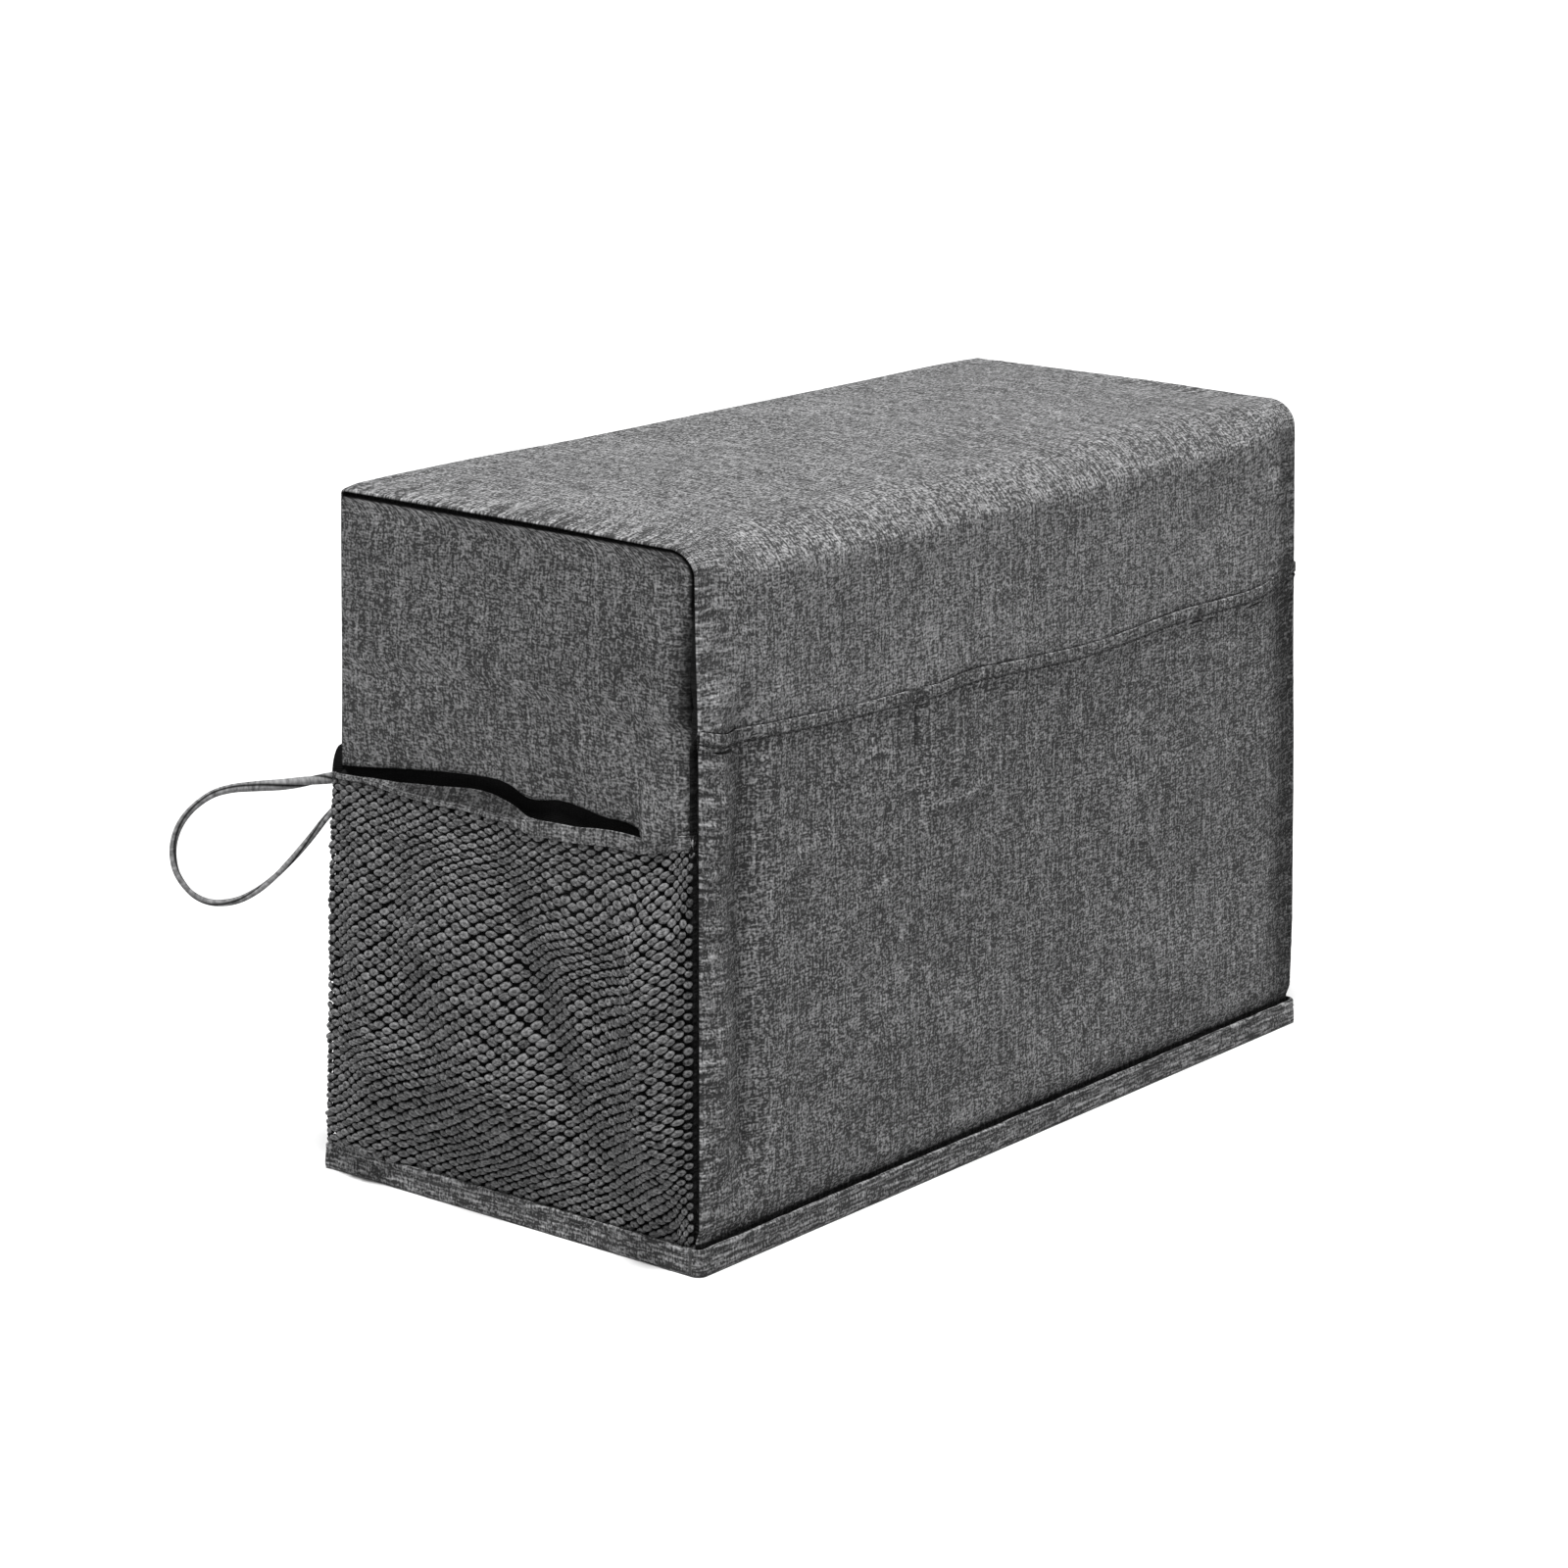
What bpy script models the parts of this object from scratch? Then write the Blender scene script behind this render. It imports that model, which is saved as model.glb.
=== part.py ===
"""Fitted cloth dust cover for a table-top sewing machine.

A hollow box of grey melange cloth that is open below.  One long strip makes
the front, the top and the back; two end panels are sewn into it.  The front
carries a wide patch pocket, the left end a bulging net pocket with a bound
mouth, the lower edge a folded binding, and the back left seam a cord loop.

Metres, +Z up.  The origin is the centre of the foot print, on the surface
that the binding stands on.  +X runs along the length, the front faces -Y and
the net pocket faces -X.
"""
import math

import bmesh
import bpy
import numpy as np

# ------------------------------------------------------------ driving sizes
LENGTH = 0.4343          # along X, measured at the top
DEPTH = 0.1905           # along Y, measured at the top
HEIGHT = 0.300

FLARE_LEFT = 0.0046      # how far each side leans out at the bottom
FLARE_RIGHT = -0.0007
FLARE_FRONT = 0.0053
FLARE_BACK = 0.0126
TOP_TAPER = -0.0245      # the top narrows towards the right end
CENTRE_X = 0.0039        # shift that centres the foot print
CENTRE_Y = 0.0

CLOTH = 0.0013           # thickness of the outer cloth
NET = 0.0012             # thickness of the net
LINING = 0.0012          # thickness of the pocket's back layer
GAP = 0.0004             # clearance between pieces that are sewn together

SEAM_ROLL_Y = 0.0140     # front top corner at the end seams, along Y and Z
SEAM_ROLL_Z = 0.0115
SOFT_ROLL_Y = 0.0400     # the same corner away from the seams
SOFT_ROLL_Z = 0.0340
ROLL_RUN = 0.055         # length over which the corner softens
BACK_ROLL = 0.0050       # back top corner
SEAM_DROP = 0.0010       # how far the cloth turns in at an end seam
SEAM_RUN = 0.0040        # width of that turn

POCKET_LIFT = CLOTH + GAP   # the front strip lies behind the patch pocket
END_STEP = 0.0019        # the left end panel lies behind the net pocket
CORNER_PINCH = 0.0012    # the back left edge is drawn in at mid height

BAND_HEIGHT = 0.0115
BAND_PROUD = 0.0025
BAND_RADIUS = 0.0042
BAND_FOOT = 0.0015       # thickness under the panels' lower edges
PANEL_FOOT = BAND_FOOT + GAP

RIM_HEIGHT = 0.0060      # binding of the net pocket's mouth
RIM_THICK = 0.0024
NET_BULGE = 0.0090       # how far the net stands out at its fullest
LINING_TOP = 0.205
LINING_BACK = 0.0012     # the back layer hangs this far behind the end panel

CORD_DIAMETER = 0.0026
LOOP_OUT = (-0.633, 0.774)   # direction in which the loop stands out

# Soft folds of the front: place along X, half width, lowest and highest
# reach, and how far the cloth stands out (or in, where negative).
FRONT_FOLDS = (
    # x,      half,   z_low, z_high, out
    (-0.2060, 0.0110, 0.020, 0.262, 0.0010),
    (-0.1900, 0.0090, 0.030, 0.245, -0.0016),
    (-0.0500, 0.0600, 0.030, 0.205, -0.0009),
    (0.0650, 0.0700, 0.030, 0.210, 0.0008),
    (0.2171, 0.0260, 0.020, 0.292, -0.0036),
)
# Soft folds of the left end's upper panel, along Y.
END_FOLDS = (
    # y,      half,   z_low, z_high, out
    (-0.0770, 0.0090, 0.175, 0.285, 0.0014),
    (-0.0880, 0.0060, 0.175, 0.280, -0.0008),
    (0.0100, 0.0500, 0.150, 0.290, -0.0007),
)
# Folds of the net pocket: ridges and troughs that lean across it.
NET_FOLDS = (
    # y_top,  y_foot, half,   out
    (-0.0740, -0.0860, 0.0140, 0.0030),
    (-0.0150, -0.0560, 0.0120, -0.0030),
    (0.0350, 0.0000, 0.0200, 0.0012),
    (0.0850, 0.0750, 0.0100, 0.0010),
)
# Upper edge of the patch pocket.
POCKET_EDGE = (
    # x,      z
    (-0.2171, 0.2270),
    (-0.2030, 0.2235),
    (-0.1700, 0.2220),
    (-0.1180, 0.2187),
    (-0.0640, 0.2177),
    (-0.0440, 0.2190),
    (0.0130, 0.2163),
    (0.0430, 0.2149),
    (0.1190, 0.2174),
    (0.2000, 0.2196),
    (0.2171, 0.2240),
)
# Lower edge of the left end's upper panel, over the pocket's mouth.
PANEL_EDGE = (
    # y,      z
    (-0.0952, 0.1830),
    (-0.0720, 0.1830),
    (-0.0600, 0.1836),
    (-0.0480, 0.1843),
    (-0.0290, 0.1856),
    (-0.0120, 0.1838),
    (-0.0050, 0.1842),
    (0.0067, 0.1886),
    (0.0350, 0.1882),
    (0.0540, 0.1871),
    (0.0770, 0.1839),
    (0.0952, 0.1812),
)
# Upper edge of the net pocket's rim.
RIM_EDGE = (
    # y,      z
    (-0.0952, 0.1822),
    (-0.0700, 0.1812),
    (-0.0420, 0.1800),
    (-0.0140, 0.1776),
    (-0.0050, 0.1767),
    (0.0136, 0.1781),
    (0.0420, 0.1790),
    (0.0700, 0.1796),
    (0.0952, 0.1780),
)
# Route of the cord loop: distance out from the seam and height.
LOOP_ROUTE = (
    # out,    z
    (-0.0009, 0.1748),
    (0.0101, 0.1733),
    (0.0226, 0.1715),
    (0.0350, 0.1713),
    (0.0454, 0.1705),
    (0.0537, 0.1679),
    (0.0620, 0.1615),
    (0.0674, 0.1537),
    (0.0699, 0.1450),
    (0.0695, 0.1363),
    (0.0666, 0.1297),
    (0.0615, 0.1240),
    (0.0544, 0.1211),
    (0.0452, 0.1217),
    (0.0369, 0.1252),
    (0.0286, 0.1313),
    (0.0203, 0.1395),
    (0.0120, 0.1490),
    (0.0058, 0.1568),
    (-0.0009, 0.1640),
)

HALF_L = LENGTH / 2
HALF_D = DEPTH / 2


# ------------------------------------------------------------------- helpers
def smooth(value):
    value = min(max(value, 0.0), 1.0)
    return value * value * (3 - 2 * value)


def along(table, place):
    """Height of an edge at a place, straight between the table's rows."""
    places = [row[0] for row in table]
    heights = [row[1] for row in table]
    return float(np.interp(place, places, heights))


def fold_sum(table, place, z):
    total = 0.0
    for centre, half, z_low, z_high, out in table:
        across = math.exp(-((place - centre) / half) ** 2)
        upward = smooth((z - z_low) / 0.030) * smooth((z_high - z) / 0.030)
        total += out * across * upward
    return total


def seam_turn(x):
    """How far the strip's cloth turns in next to an end seam."""
    near = min(x + HALF_L, HALF_L - x)
    return SEAM_DROP * (1 - smooth(near / SEAM_RUN))


def left_plane(z):
    """Outer face of the left end panel."""
    return -HALF_L + END_STEP * smooth((HEIGHT - z) / 0.100)


def front_offset(x, z):
    """The patch pocket's outer face, measured in from the front plane."""
    return seam_turn(x) - fold_sum(FRONT_FOLDS, x, z)


def strip_offset(x, z):
    """The front strip's outer face, measured in from the front plane."""
    lift = POCKET_LIFT * smooth((HEIGHT - 0.016 - z) / 0.050)
    return front_offset(x, z) + lift


def roll_sizes(x):
    near = min(x + HALF_L, HALF_L - x)
    share = smooth(near / ROLL_RUN)
    return (SEAM_ROLL_Y + (SOFT_ROLL_Y - SEAM_ROLL_Y) * share,
            SEAM_ROLL_Z + (SOFT_ROLL_Z - SEAM_ROLL_Z) * share)


def lean(point):
    """Carry a point of the upright box to the cover's leaning sides."""
    x, y, z = point
    t = 1 - z / HEIGHT
    pinch = (CORNER_PINCH * smooth((HEIGHT - z) / 0.110)
             * smooth((z - 0.012) / 0.110)
             * smooth((-HALF_L + 0.070 - x) / 0.070)
             * smooth((y - HALF_D + 0.060) / 0.060))
    new_x = x * (1 + t * (FLARE_LEFT + FLARE_RIGHT) / LENGTH)
    new_x += (t - 1) * (FLARE_RIGHT - FLARE_LEFT) / 2
    new_y = y * (1 + TOP_TAPER * (x / HALF_L) * (1 - t))
    new_y *= 1 + t * (FLARE_FRONT + FLARE_BACK) / DEPTH
    new_y += (t - 1) * (FLARE_BACK - FLARE_FRONT) / 2
    return (new_x + CENTRE_X, new_y - pinch + CENTRE_Y, z)


def material(name, grey, roughness):
    mat = bpy.data.materials.new(name)
    mat.use_nodes = True
    shader = mat.node_tree.nodes["Principled BSDF"]
    shader.inputs["Base Color"].default_value = (grey, grey, grey, 1.0)
    shader.inputs["Roughness"].default_value = roughness
    shader.inputs["Metallic"].default_value = 0.0
    mat.diffuse_color = (grey, grey, grey, 1.0)
    return mat


def finish_mesh(name, bm, mat, angle=35):
    bmesh.ops.recalc_face_normals(bm, faces=bm.faces)
    if bm.calc_volume(signed=True) < 0:
        bmesh.ops.reverse_faces(bm, faces=bm.faces)
    mesh = bpy.data.meshes.new(name)
    bm.to_mesh(mesh)
    bm.free()
    mesh.materials.append(mat)
    mesh.shade_smooth()
    mesh.set_sharp_from_angle(angle=math.radians(angle))
    obj = bpy.data.objects.new(name, mesh)
    bpy.context.scene.collection.objects.link(obj)
    return obj


def grid_normals(grid):
    du = np.gradient(grid, axis=0)
    dv = np.gradient(grid, axis=1)
    normal = np.cross(du, dv)
    return normal / np.linalg.norm(normal, axis=2, keepdims=True)


def sheet(name, outer, inner, mat):
    """A closed sheet between two grids of points, in the upright box."""
    rows, cols = outer.shape[:2]
    bm = bmesh.new()
    face_a = [[bm.verts.new(lean(outer[i, j])) for j in range(cols)]
              for i in range(rows)]
    face_b = [[bm.verts.new(lean(inner[i, j])) for j in range(cols)]
              for i in range(rows)]
    for i in range(rows - 1):
        for j in range(cols - 1):
            bm.faces.new((face_a[i][j], face_a[i + 1][j],
                          face_a[i + 1][j + 1], face_a[i][j + 1]))
            bm.faces.new((face_b[i][j + 1], face_b[i + 1][j + 1],
                          face_b[i + 1][j], face_b[i][j]))
    for i in range(rows - 1):
        bm.faces.new((face_a[i][0], face_b[i][0],
                      face_b[i + 1][0], face_a[i + 1][0]))
        bm.faces.new((face_a[i + 1][-1], face_b[i + 1][-1],
                      face_b[i][-1], face_a[i][-1]))
    for j in range(cols - 1):
        bm.faces.new((face_a[0][j + 1], face_b[0][j + 1],
                      face_b[0][j], face_a[0][j]))
        bm.faces.new((face_a[-1][j], face_b[-1][j],
                      face_b[-1][j + 1], face_a[-1][j + 1]))
    bmesh.ops.triangulate(bm, faces=bm.faces)
    return finish_mesh(name, bm, mat)


# --------------------------------------------------------- stations along X
def strip_stations():
    """Places along X: close together at the seams and at the folds."""
    edge = [0.0, 0.002, 0.005, 0.011, 0.019, 0.027, 0.036, 0.050, 0.075]
    left = [-HALF_L + e for e in edge]
    middle = [-0.100, -0.050, 0.0, 0.050, 0.100]
    right = [HALF_L - e for e in reversed(edge)]
    return left + middle + right


FRONT_ROWS = (PANEL_FOOT, 0.013, 0.030, 0.060, 0.100, 0.145, 0.185, 0.214)


# --------------------------------------------------- front, top and back strip
def build_strip(mat):
    columns = []
    for x in strip_stations():
        x_here = x
        roll_y, roll_z = roll_sizes(x)
        path = []
        for z in FRONT_ROWS:
            path.append((strip_offset(x, z) - HALF_D, z))
        z_roll = HEIGHT - roll_z
        z_mid = (FRONT_ROWS[-1] + z_roll) / 2
        path.append((strip_offset(x, z_mid) - HALF_D, z_mid))
        turn = seam_turn(x)
        for step in range(8):
            a = math.radians(90 * step / 7)
            start = strip_offset(x, z_roll)
            y = (start * math.cos(a) + roll_y * (1 - math.cos(a)) - HALF_D)
            z = z_roll + (roll_z - turn) * math.sin(a)
            path.append((y, z))
        back_start = HALF_D - BACK_ROLL
        top_start = -HALF_D + SOFT_ROLL_Y
        for share in (0.18, 0.5, 0.8):
            path.append((top_start + (back_start - top_start) * share,
                         HEIGHT - turn))
        for step in range(4):
            a = math.radians(90 * step / 3)
            radius = BACK_ROLL - turn
            path.append((back_start + radius * math.sin(a),
                         HEIGHT - BACK_ROLL + radius * math.cos(a)))
        for z in (0.240, 0.185, 0.130, 0.075, 0.030, PANEL_FOOT):
            path.append((HALF_D - turn, z))
        column = []
        for y, z in path:
            x_end = x_here
            if x < -HALF_L + 0.030:
                share = (x + HALF_L) / 0.030
                x_end = x_here + (left_plane(z) + HALF_L) * (1 - share)
            column.append((x_end, y, z))
        columns.append(column)
    outer = np.array(columns)
    slope = np.gradient(outer, axis=1)
    slope[:, :, 0] = 0
    slope /= np.linalg.norm(slope, axis=2, keepdims=True)
    inward = np.stack([np.zeros_like(slope[:, :, 0]),
                       slope[:, :, 2], -slope[:, :, 1]], axis=2)
    inner = outer + inward * CLOTH
    inner[:, 0, 2] = PANEL_FOOT
    inner[:, -1, 2] = PANEL_FOOT
    return sheet("wrap", outer, inner, mat)


# ------------------------------------------------------------ patch pocket
def build_front_pocket(mat):
    columns = []
    for x in strip_stations():
        top = along(POCKET_EDGE, x)
        rows = list(FRONT_ROWS[:-1]) + [top]
        column = []
        for z in rows:
            x_end = x
            if x < -HALF_L + 0.030:
                share = (x + HALF_L) / 0.030
                x_end = x + (left_plane(z) + HALF_L) * (1 - share)
            column.append((x_end, front_offset(x, z) - HALF_D, z))
        columns.append(column)
    outer = np.array(columns)
    inner = outer.copy()
    inner[:, :, 1] += CLOTH
    return sheet("front_pocket", outer, inner, mat)


# --------------------------------------------------------------- end panels
def panel_limits(x_end, z):
    """Front and back edges of an end panel inside the strip at a height."""
    clear = CLOTH + GAP + 0.0002
    front = strip_offset(x_end, min(z, HEIGHT - SEAM_ROLL_Z)) + clear
    back = SEAM_DROP + clear
    top = HEIGHT - SEAM_DROP - clear
    up = (z - (HEIGHT - SEAM_ROLL_Z)) / (top - (HEIGHT - SEAM_ROLL_Z))
    if up > 0:
        bend = 1 - math.sqrt(max(0.0, 1 - up * up))
        front += (SEAM_ROLL_Y - front) * bend
    high = (z - (HEIGHT - BACK_ROLL)) / (top - (HEIGHT - BACK_ROLL))
    if high > 0:
        bend = 1 - math.sqrt(max(0.0, 1 - high * high))
        back += (BACK_ROLL - back) * bend
    return front - HALF_D, HALF_D - back, top


def build_end_panel(name, side, low_edge, rows, face, folds, thick, mat):
    """A flat sheet that fills the strip's end, down to its lower edge."""
    shares = np.linspace(0, 1, 17)
    shares = shares + 0.03 * np.sin(4 * math.pi * shares) / 2
    x_end = side * HALF_L
    columns = []
    for share in shares:
        y_guess = -HALF_D + share * DEPTH
        low = low_edge(y_guess)
        column = []
        for row in rows:
            z = row if row > low + 0.008 else None
            if z is None:
                continue
            front, back, top = panel_limits(x_end, z)
            column.append((z, front + (back - front) * share))
        count = len(rows)
        missing = count - len(column)
        if missing:
            first = column[0][0]
            fill = []
            for step in range(missing):
                z = low + (first - low) * step / missing
                front, back, top = panel_limits(x_end, z)
                fill.append((z, front + (back - front) * share))
            column = fill + column
        else:
            front, back, top = panel_limits(x_end, low)
            column[0] = (low, front + (back - front) * share)
        points = []
        for z, y in column:
            out = fold_sum(folds, y, z) * smooth((HALF_D - abs(y)) / 0.012)
            points.append((face(z) + side * out, y, z))
        columns.append(points)
    outer = np.array(columns)
    inner = outer.copy()
    inner[:, :, 0] -= side * thick
    return sheet(name, outer, inner, mat)


def top_rows(start, count):
    """Row heights that crowd together in the rounded top corner."""
    clear = CLOTH + GAP + 0.0002
    top = HEIGHT - SEAM_DROP - clear
    bend = HEIGHT - SEAM_ROLL_Z
    rows = list(np.linspace(start, bend, count))
    for step in range(1, 6):
        rows.append(bend + (top - bend) * math.sin(math.radians(18 * step)))
    return rows


# ----------------------------------------------------------------- net pocket
def net_out(y, z):
    """How far the net stands out from the end's flat foot plane."""
    top = along(RIM_EDGE, y)
    up = (z - 0.0125) / (top - 0.0125)
    rise = smooth((z - 0.0125) / 0.050)
    full = NET_BULGE * rise * (1 - 0.25 * smooth((up - 0.6) / 0.4))
    front_edge = smooth((y + HALF_D) / 0.016)
    back_edge = 0.30 + 0.70 * smooth((HALF_D - y) / 0.030)
    folds = 0.0
    for y_top, y_foot, half, out in NET_FOLDS:
        centre = y_foot + (y_top - y_foot) * up
        folds += out * math.exp(-((y - centre) / half) ** 2)
    folds *= 1 - 0.7 * smooth((up - 0.65) / 0.35)
    return (full + folds * rise) * front_edge * back_edge


def net_point(y, z):
    x = -HALF_L - net_out(min(y, HALF_D), z)
    return x, y, z


NET_SHARES = (0.0, 0.03, 0.065, 0.10, 0.15, 0.21, 0.28, 0.36, 0.44, 0.52,
              0.60, 0.68, 0.76, 0.84, 0.90, 0.945, 0.975, 1.0)
NET_FRONT = -HALF_D + 0.0014
NET_BACK = HALF_D - 0.0010


def net_column(share, z):
    """A point of the net's outer face; its last part turns the corner."""
    y = NET_FRONT + (NET_BACK - NET_FRONT) * share
    x, y, z = net_point(y, z)
    rise = smooth((z - 0.0125) / 0.040)
    turn = smooth((share - 0.90) / 0.10)
    x += rise * turn * 0.0022
    y += rise * turn * 0.0026
    return x, y, z


def build_net(mat):
    columns = []
    for share in NET_SHARES:
        y_here = NET_FRONT + (NET_BACK - NET_FRONT) * share
        top = along(RIM_EDGE, y_here) - RIM_HEIGHT - GAP
        rows = [PANEL_FOOT, 0.0128, 0.022, 0.034, 0.052, 0.078, 0.105,
                0.130, 0.152, top]
        columns.append([net_column(share, z) for z in rows])
    outer = np.array(columns)
    inner = outer - grid_normals(outer) * NET * net_side(outer)
    inner[:, 0, 2] = PANEL_FOOT
    inner[:, 1, 2] = outer[:, 1, 2]
    inner[:, 0:2, 0] = outer[:, 0:2, 0] + NET
    inner[:, 0:2, 1] = outer[:, 0:2, 1]
    return sheet("net_pocket", outer, inner, mat)


def net_side(outer):
    """+1 where the grid's own normal points away from the cover."""
    normal = grid_normals(outer)
    return 1.0 if normal[len(outer) // 2, 5, 0] < 0 else -1.0


def build_rim(mat):
    columns = []
    for share in NET_SHARES:
        y_here = NET_FRONT + (NET_BACK - NET_FRONT) * share
        top = along(RIM_EDGE, y_here)
        rows = [top - RIM_HEIGHT, top - RIM_HEIGHT / 2, top]
        columns.append([net_column(share, z) for z in rows])
    middle = np.array(columns)
    across = grid_normals(middle) * net_side_small(middle)
    across[:, :, 2] = 0
    across /= np.linalg.norm(across, axis=2, keepdims=True)
    extra = (RIM_THICK - NET) / 2
    outer = middle + across * extra
    inner = middle - across * (RIM_THICK - extra)
    return sheet("pocket_rim", outer, inner, mat)


def net_side_small(grid):
    normal = grid_normals(grid)
    return 1.0 if normal[len(grid) // 2, 1, 0] < 0 else -1.0


# ------------------------------------------------------------- tab at the mouth
def build_tab(mat):
    """A short dark flap that turns the back left corner over the net."""
    columns = []
    for step in range(8):
        column = []
        for row in range(5):
            z = 0.1795 + 0.0105 * row / 4
            lift = GAP + LINING + 0.0024 * (1 - row / 4) ** 1.5
            plane = left_plane(z)
            radius = 0.0020
            centre = (plane + radius, HALF_D - radius)
            if step == 0:
                point = (plane - lift, HALF_D - 0.0065)
            elif step == 7:
                point = (plane + 0.0055, HALF_D + lift)
            else:
                a = math.radians(180 - 90 * (step - 1) / 5)
                reach = radius + lift
                point = (centre[0] + reach * math.cos(a),
                         centre[1] + reach * math.sin(a))
            column.append((point[0], point[1], z))
        columns.append(column)
    outer = np.array(columns)
    normal = grid_normals(outer)
    normal[:, :, 2] = 0
    normal /= np.linalg.norm(normal, axis=2, keepdims=True)
    side = 1.0 if normal[0, 0, 0] < 0 else -1.0
    inner = outer - normal * side * LINING
    return sheet("mouth_tab", outer, inner, mat)


# ---------------------------------------------------------------- lower binding
def build_band(mat):
    """A folded strip around all four lower edges: outside, under, inside."""
    inside = {"front": 2 * CLOTH + 2 * GAP + SEAM_DROP,
              "right": CLOTH + GAP, "back": CLOTH + GAP + SEAM_DROP,
              "left": END_STEP + CLOTH + LINING_BACK + LINING + GAP}
    wall = 0.0012
    centre = BAND_RADIUS - BAND_PROUD
    corner_x = HALF_L - centre
    corner_y = HALF_D - centre
    corners = (
        (-corner_x, -corner_y, 180, "left", "front"),
        (corner_x, -corner_y, 270, "front", "right"),
        (corner_x, corner_y, 0, "right", "back"),
        (-corner_x, corner_y, 90, "back", "left"),
    )
    stations = []
    for cx, cy, start, side_a, side_b in corners:
        for step in range(6):
            share = step / 5
            angle = math.radians(start + 90 * share)
            direction = (math.cos(angle), math.sin(angle))
            in_a = inside[side_a] + wall
            in_b = inside[side_b] + wall
            stations.append((cx, cy, direction, share, in_a, in_b))
    bm = bmesh.new()
    rings = []
    for cx, cy, direction, share, in_a, in_b in stations:
        sx = 1 if cx > 0 else -1
        sy = 1 if cy > 0 else -1

        def spot(offset, z):
            """A point at an offset out from the panels' outer planes."""
            reach = offset + centre
            if reach >= 0.0004:
                x = cx + direction[0] * reach
                y = cy + direction[1] * reach
            else:
                x = cx + sx * (reach - 0.0004) + direction[0] * 0.0004
                y = cy + sy * (reach - 0.0004) + direction[1] * 0.0004
            return x, y, z

        def inner_spot(back_by, z):
            """A point inside, where each side has its own depth."""
            depth_x, depth_y = corner_depths(cx, cy, in_a, in_b)
            x = sx * (HALF_L - depth_x + back_by)
            y = sy * (HALF_D - depth_y + back_by)
            x += (direction[0] - sx) * 0.0004
            y += (direction[1] - sy) * 0.0004
            return x, y, z

        ring = [
            spot(BAND_PROUD - 0.0007, BAND_HEIGHT),
            spot(BAND_PROUD, BAND_HEIGHT - 0.0012),
            spot(BAND_PROUD, 0.0010),
            spot(BAND_PROUD - 0.0010, 0.0),
            inner_spot(0.0, 0.0),
            inner_spot(0.0, BAND_HEIGHT - 0.0020),
            inner_spot(wall, BAND_HEIGHT - 0.0020),
            inner_spot(wall, BAND_FOOT),
            spot(GAP, BAND_FOOT),
            spot(GAP, BAND_HEIGHT),
        ]
        rings.append([bm.verts.new(lean(p)) for p in ring])
    count = len(rings)
    size = len(rings[0])
    for i in range(count):
        here, there = rings[i], rings[(i + 1) % count]
        for j in range(size):
            k = (j + 1) % size
            bm.faces.new((here[j], there[j], there[k], here[k]))
    bmesh.ops.triangulate(bm, faces=bm.faces)
    return finish_mesh("hem_binding", bm, mat)


def corner_axis_a(cx, cy):
    """1 where a corner's first side is a left or right side."""
    return 1 if (cx < 0) == (cy < 0) else 0


def corner_depths(cx, cy, in_a, in_b):
    """Inner depths along X and Y at a corner."""
    if corner_axis_a(cx, cy):
        return in_a, in_b
    return in_b, in_a


# -------------------------------------------------------------------- cord loop
def catmull(points, per_span):
    """A smooth curve through all the points."""
    pts = [np.array(p) for p in points]
    pts = [2 * pts[0] - pts[1]] + pts + [2 * pts[-1] - pts[-2]]
    out = []
    for i in range(1, len(pts) - 2):
        a, b, c, d = pts[i - 1], pts[i], pts[i + 1], pts[i + 2]
        for step in range(per_span):
            t = step / per_span
            out.append(0.5 * ((2 * b) + (c - a) * t
                              + (2 * a - 5 * b + 4 * c - d) * t * t
                              + (3 * b - a - 3 * c + d) * t ** 3))
    out.append(pts[-2])
    return out


def loop_points():
    root_z = 0.168
    base = lean((left_plane(root_z) + 0.0020, HALF_D, root_z))
    radius = CORD_DIAMETER / 2
    start = LOOP_ROUTE[0][0]
    points = []
    for out, z in LOOP_ROUTE:
        points.append((base[0] + LOOP_OUT[0] * (out - start),
                       base[1] + radius + GAP + 0.0004
                       + LOOP_OUT[1] * (out - start), z))
    return points


def build_loop(mat):
    curve = bpy.data.curves.new("pull_loop", "CURVE")
    curve.dimensions = "3D"
    curve.bevel_depth = CORD_DIAMETER / 2
    curve.bevel_resolution = 2
    curve.use_fill_caps = True
    points = catmull(loop_points(), 2)
    spline = curve.splines.new("POLY")
    spline.points.add(len(points) - 1)
    for slot, point in zip(spline.points, points):
        slot.co = (point[0], point[1], point[2], 1.0)
    curve.materials.append(mat)
    obj = bpy.data.objects.new("pull_loop", curve)
    bpy.context.scene.collection.objects.link(obj)
    return obj


# --------------------------------------------------------------------- the cover
def main():
    for obj in list(bpy.data.objects):
        bpy.data.objects.remove(obj, do_unlink=True)

    build_strip(material("melange_cloth", 0.16, 0.85))
    build_front_pocket(material("pocket_cloth", 0.15, 0.85))
    build_end_panel("end_left", -1, lambda y: along(PANEL_EDGE, y),
                    top_rows(0.186, 6), left_plane, END_FOLDS, CLOTH,
                    material("end_cloth", 0.14, 0.85))
    build_end_panel("end_right", 1, lambda y: PANEL_FOOT,
                    top_rows(PANEL_FOOT, 9), lambda z: HALF_L, (), CLOTH,
                    material("right_cloth", 0.14, 0.85))
    lining_rows = list(np.linspace(PANEL_FOOT, LINING_TOP, 8))
    build_end_panel("pocket_back", -1, lambda y: PANEL_FOOT, lining_rows,
                    lambda z: left_plane(z) + CLOTH + LINING_BACK, (), LINING,
                    material("black_lining", 0.012, 0.9))
    build_net(material("net_cloth", 0.10, 0.7))
    build_rim(material("rim_cloth", 0.15, 0.85))
    build_tab(material("tab_cloth", 0.012, 0.9))
    build_band(material("band_cloth", 0.17, 0.85))
    build_loop(material("loop_cord", 0.22, 0.7))


main()
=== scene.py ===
import math

import bpy
import numpy as np
from mathutils import Matrix, Vector


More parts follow.
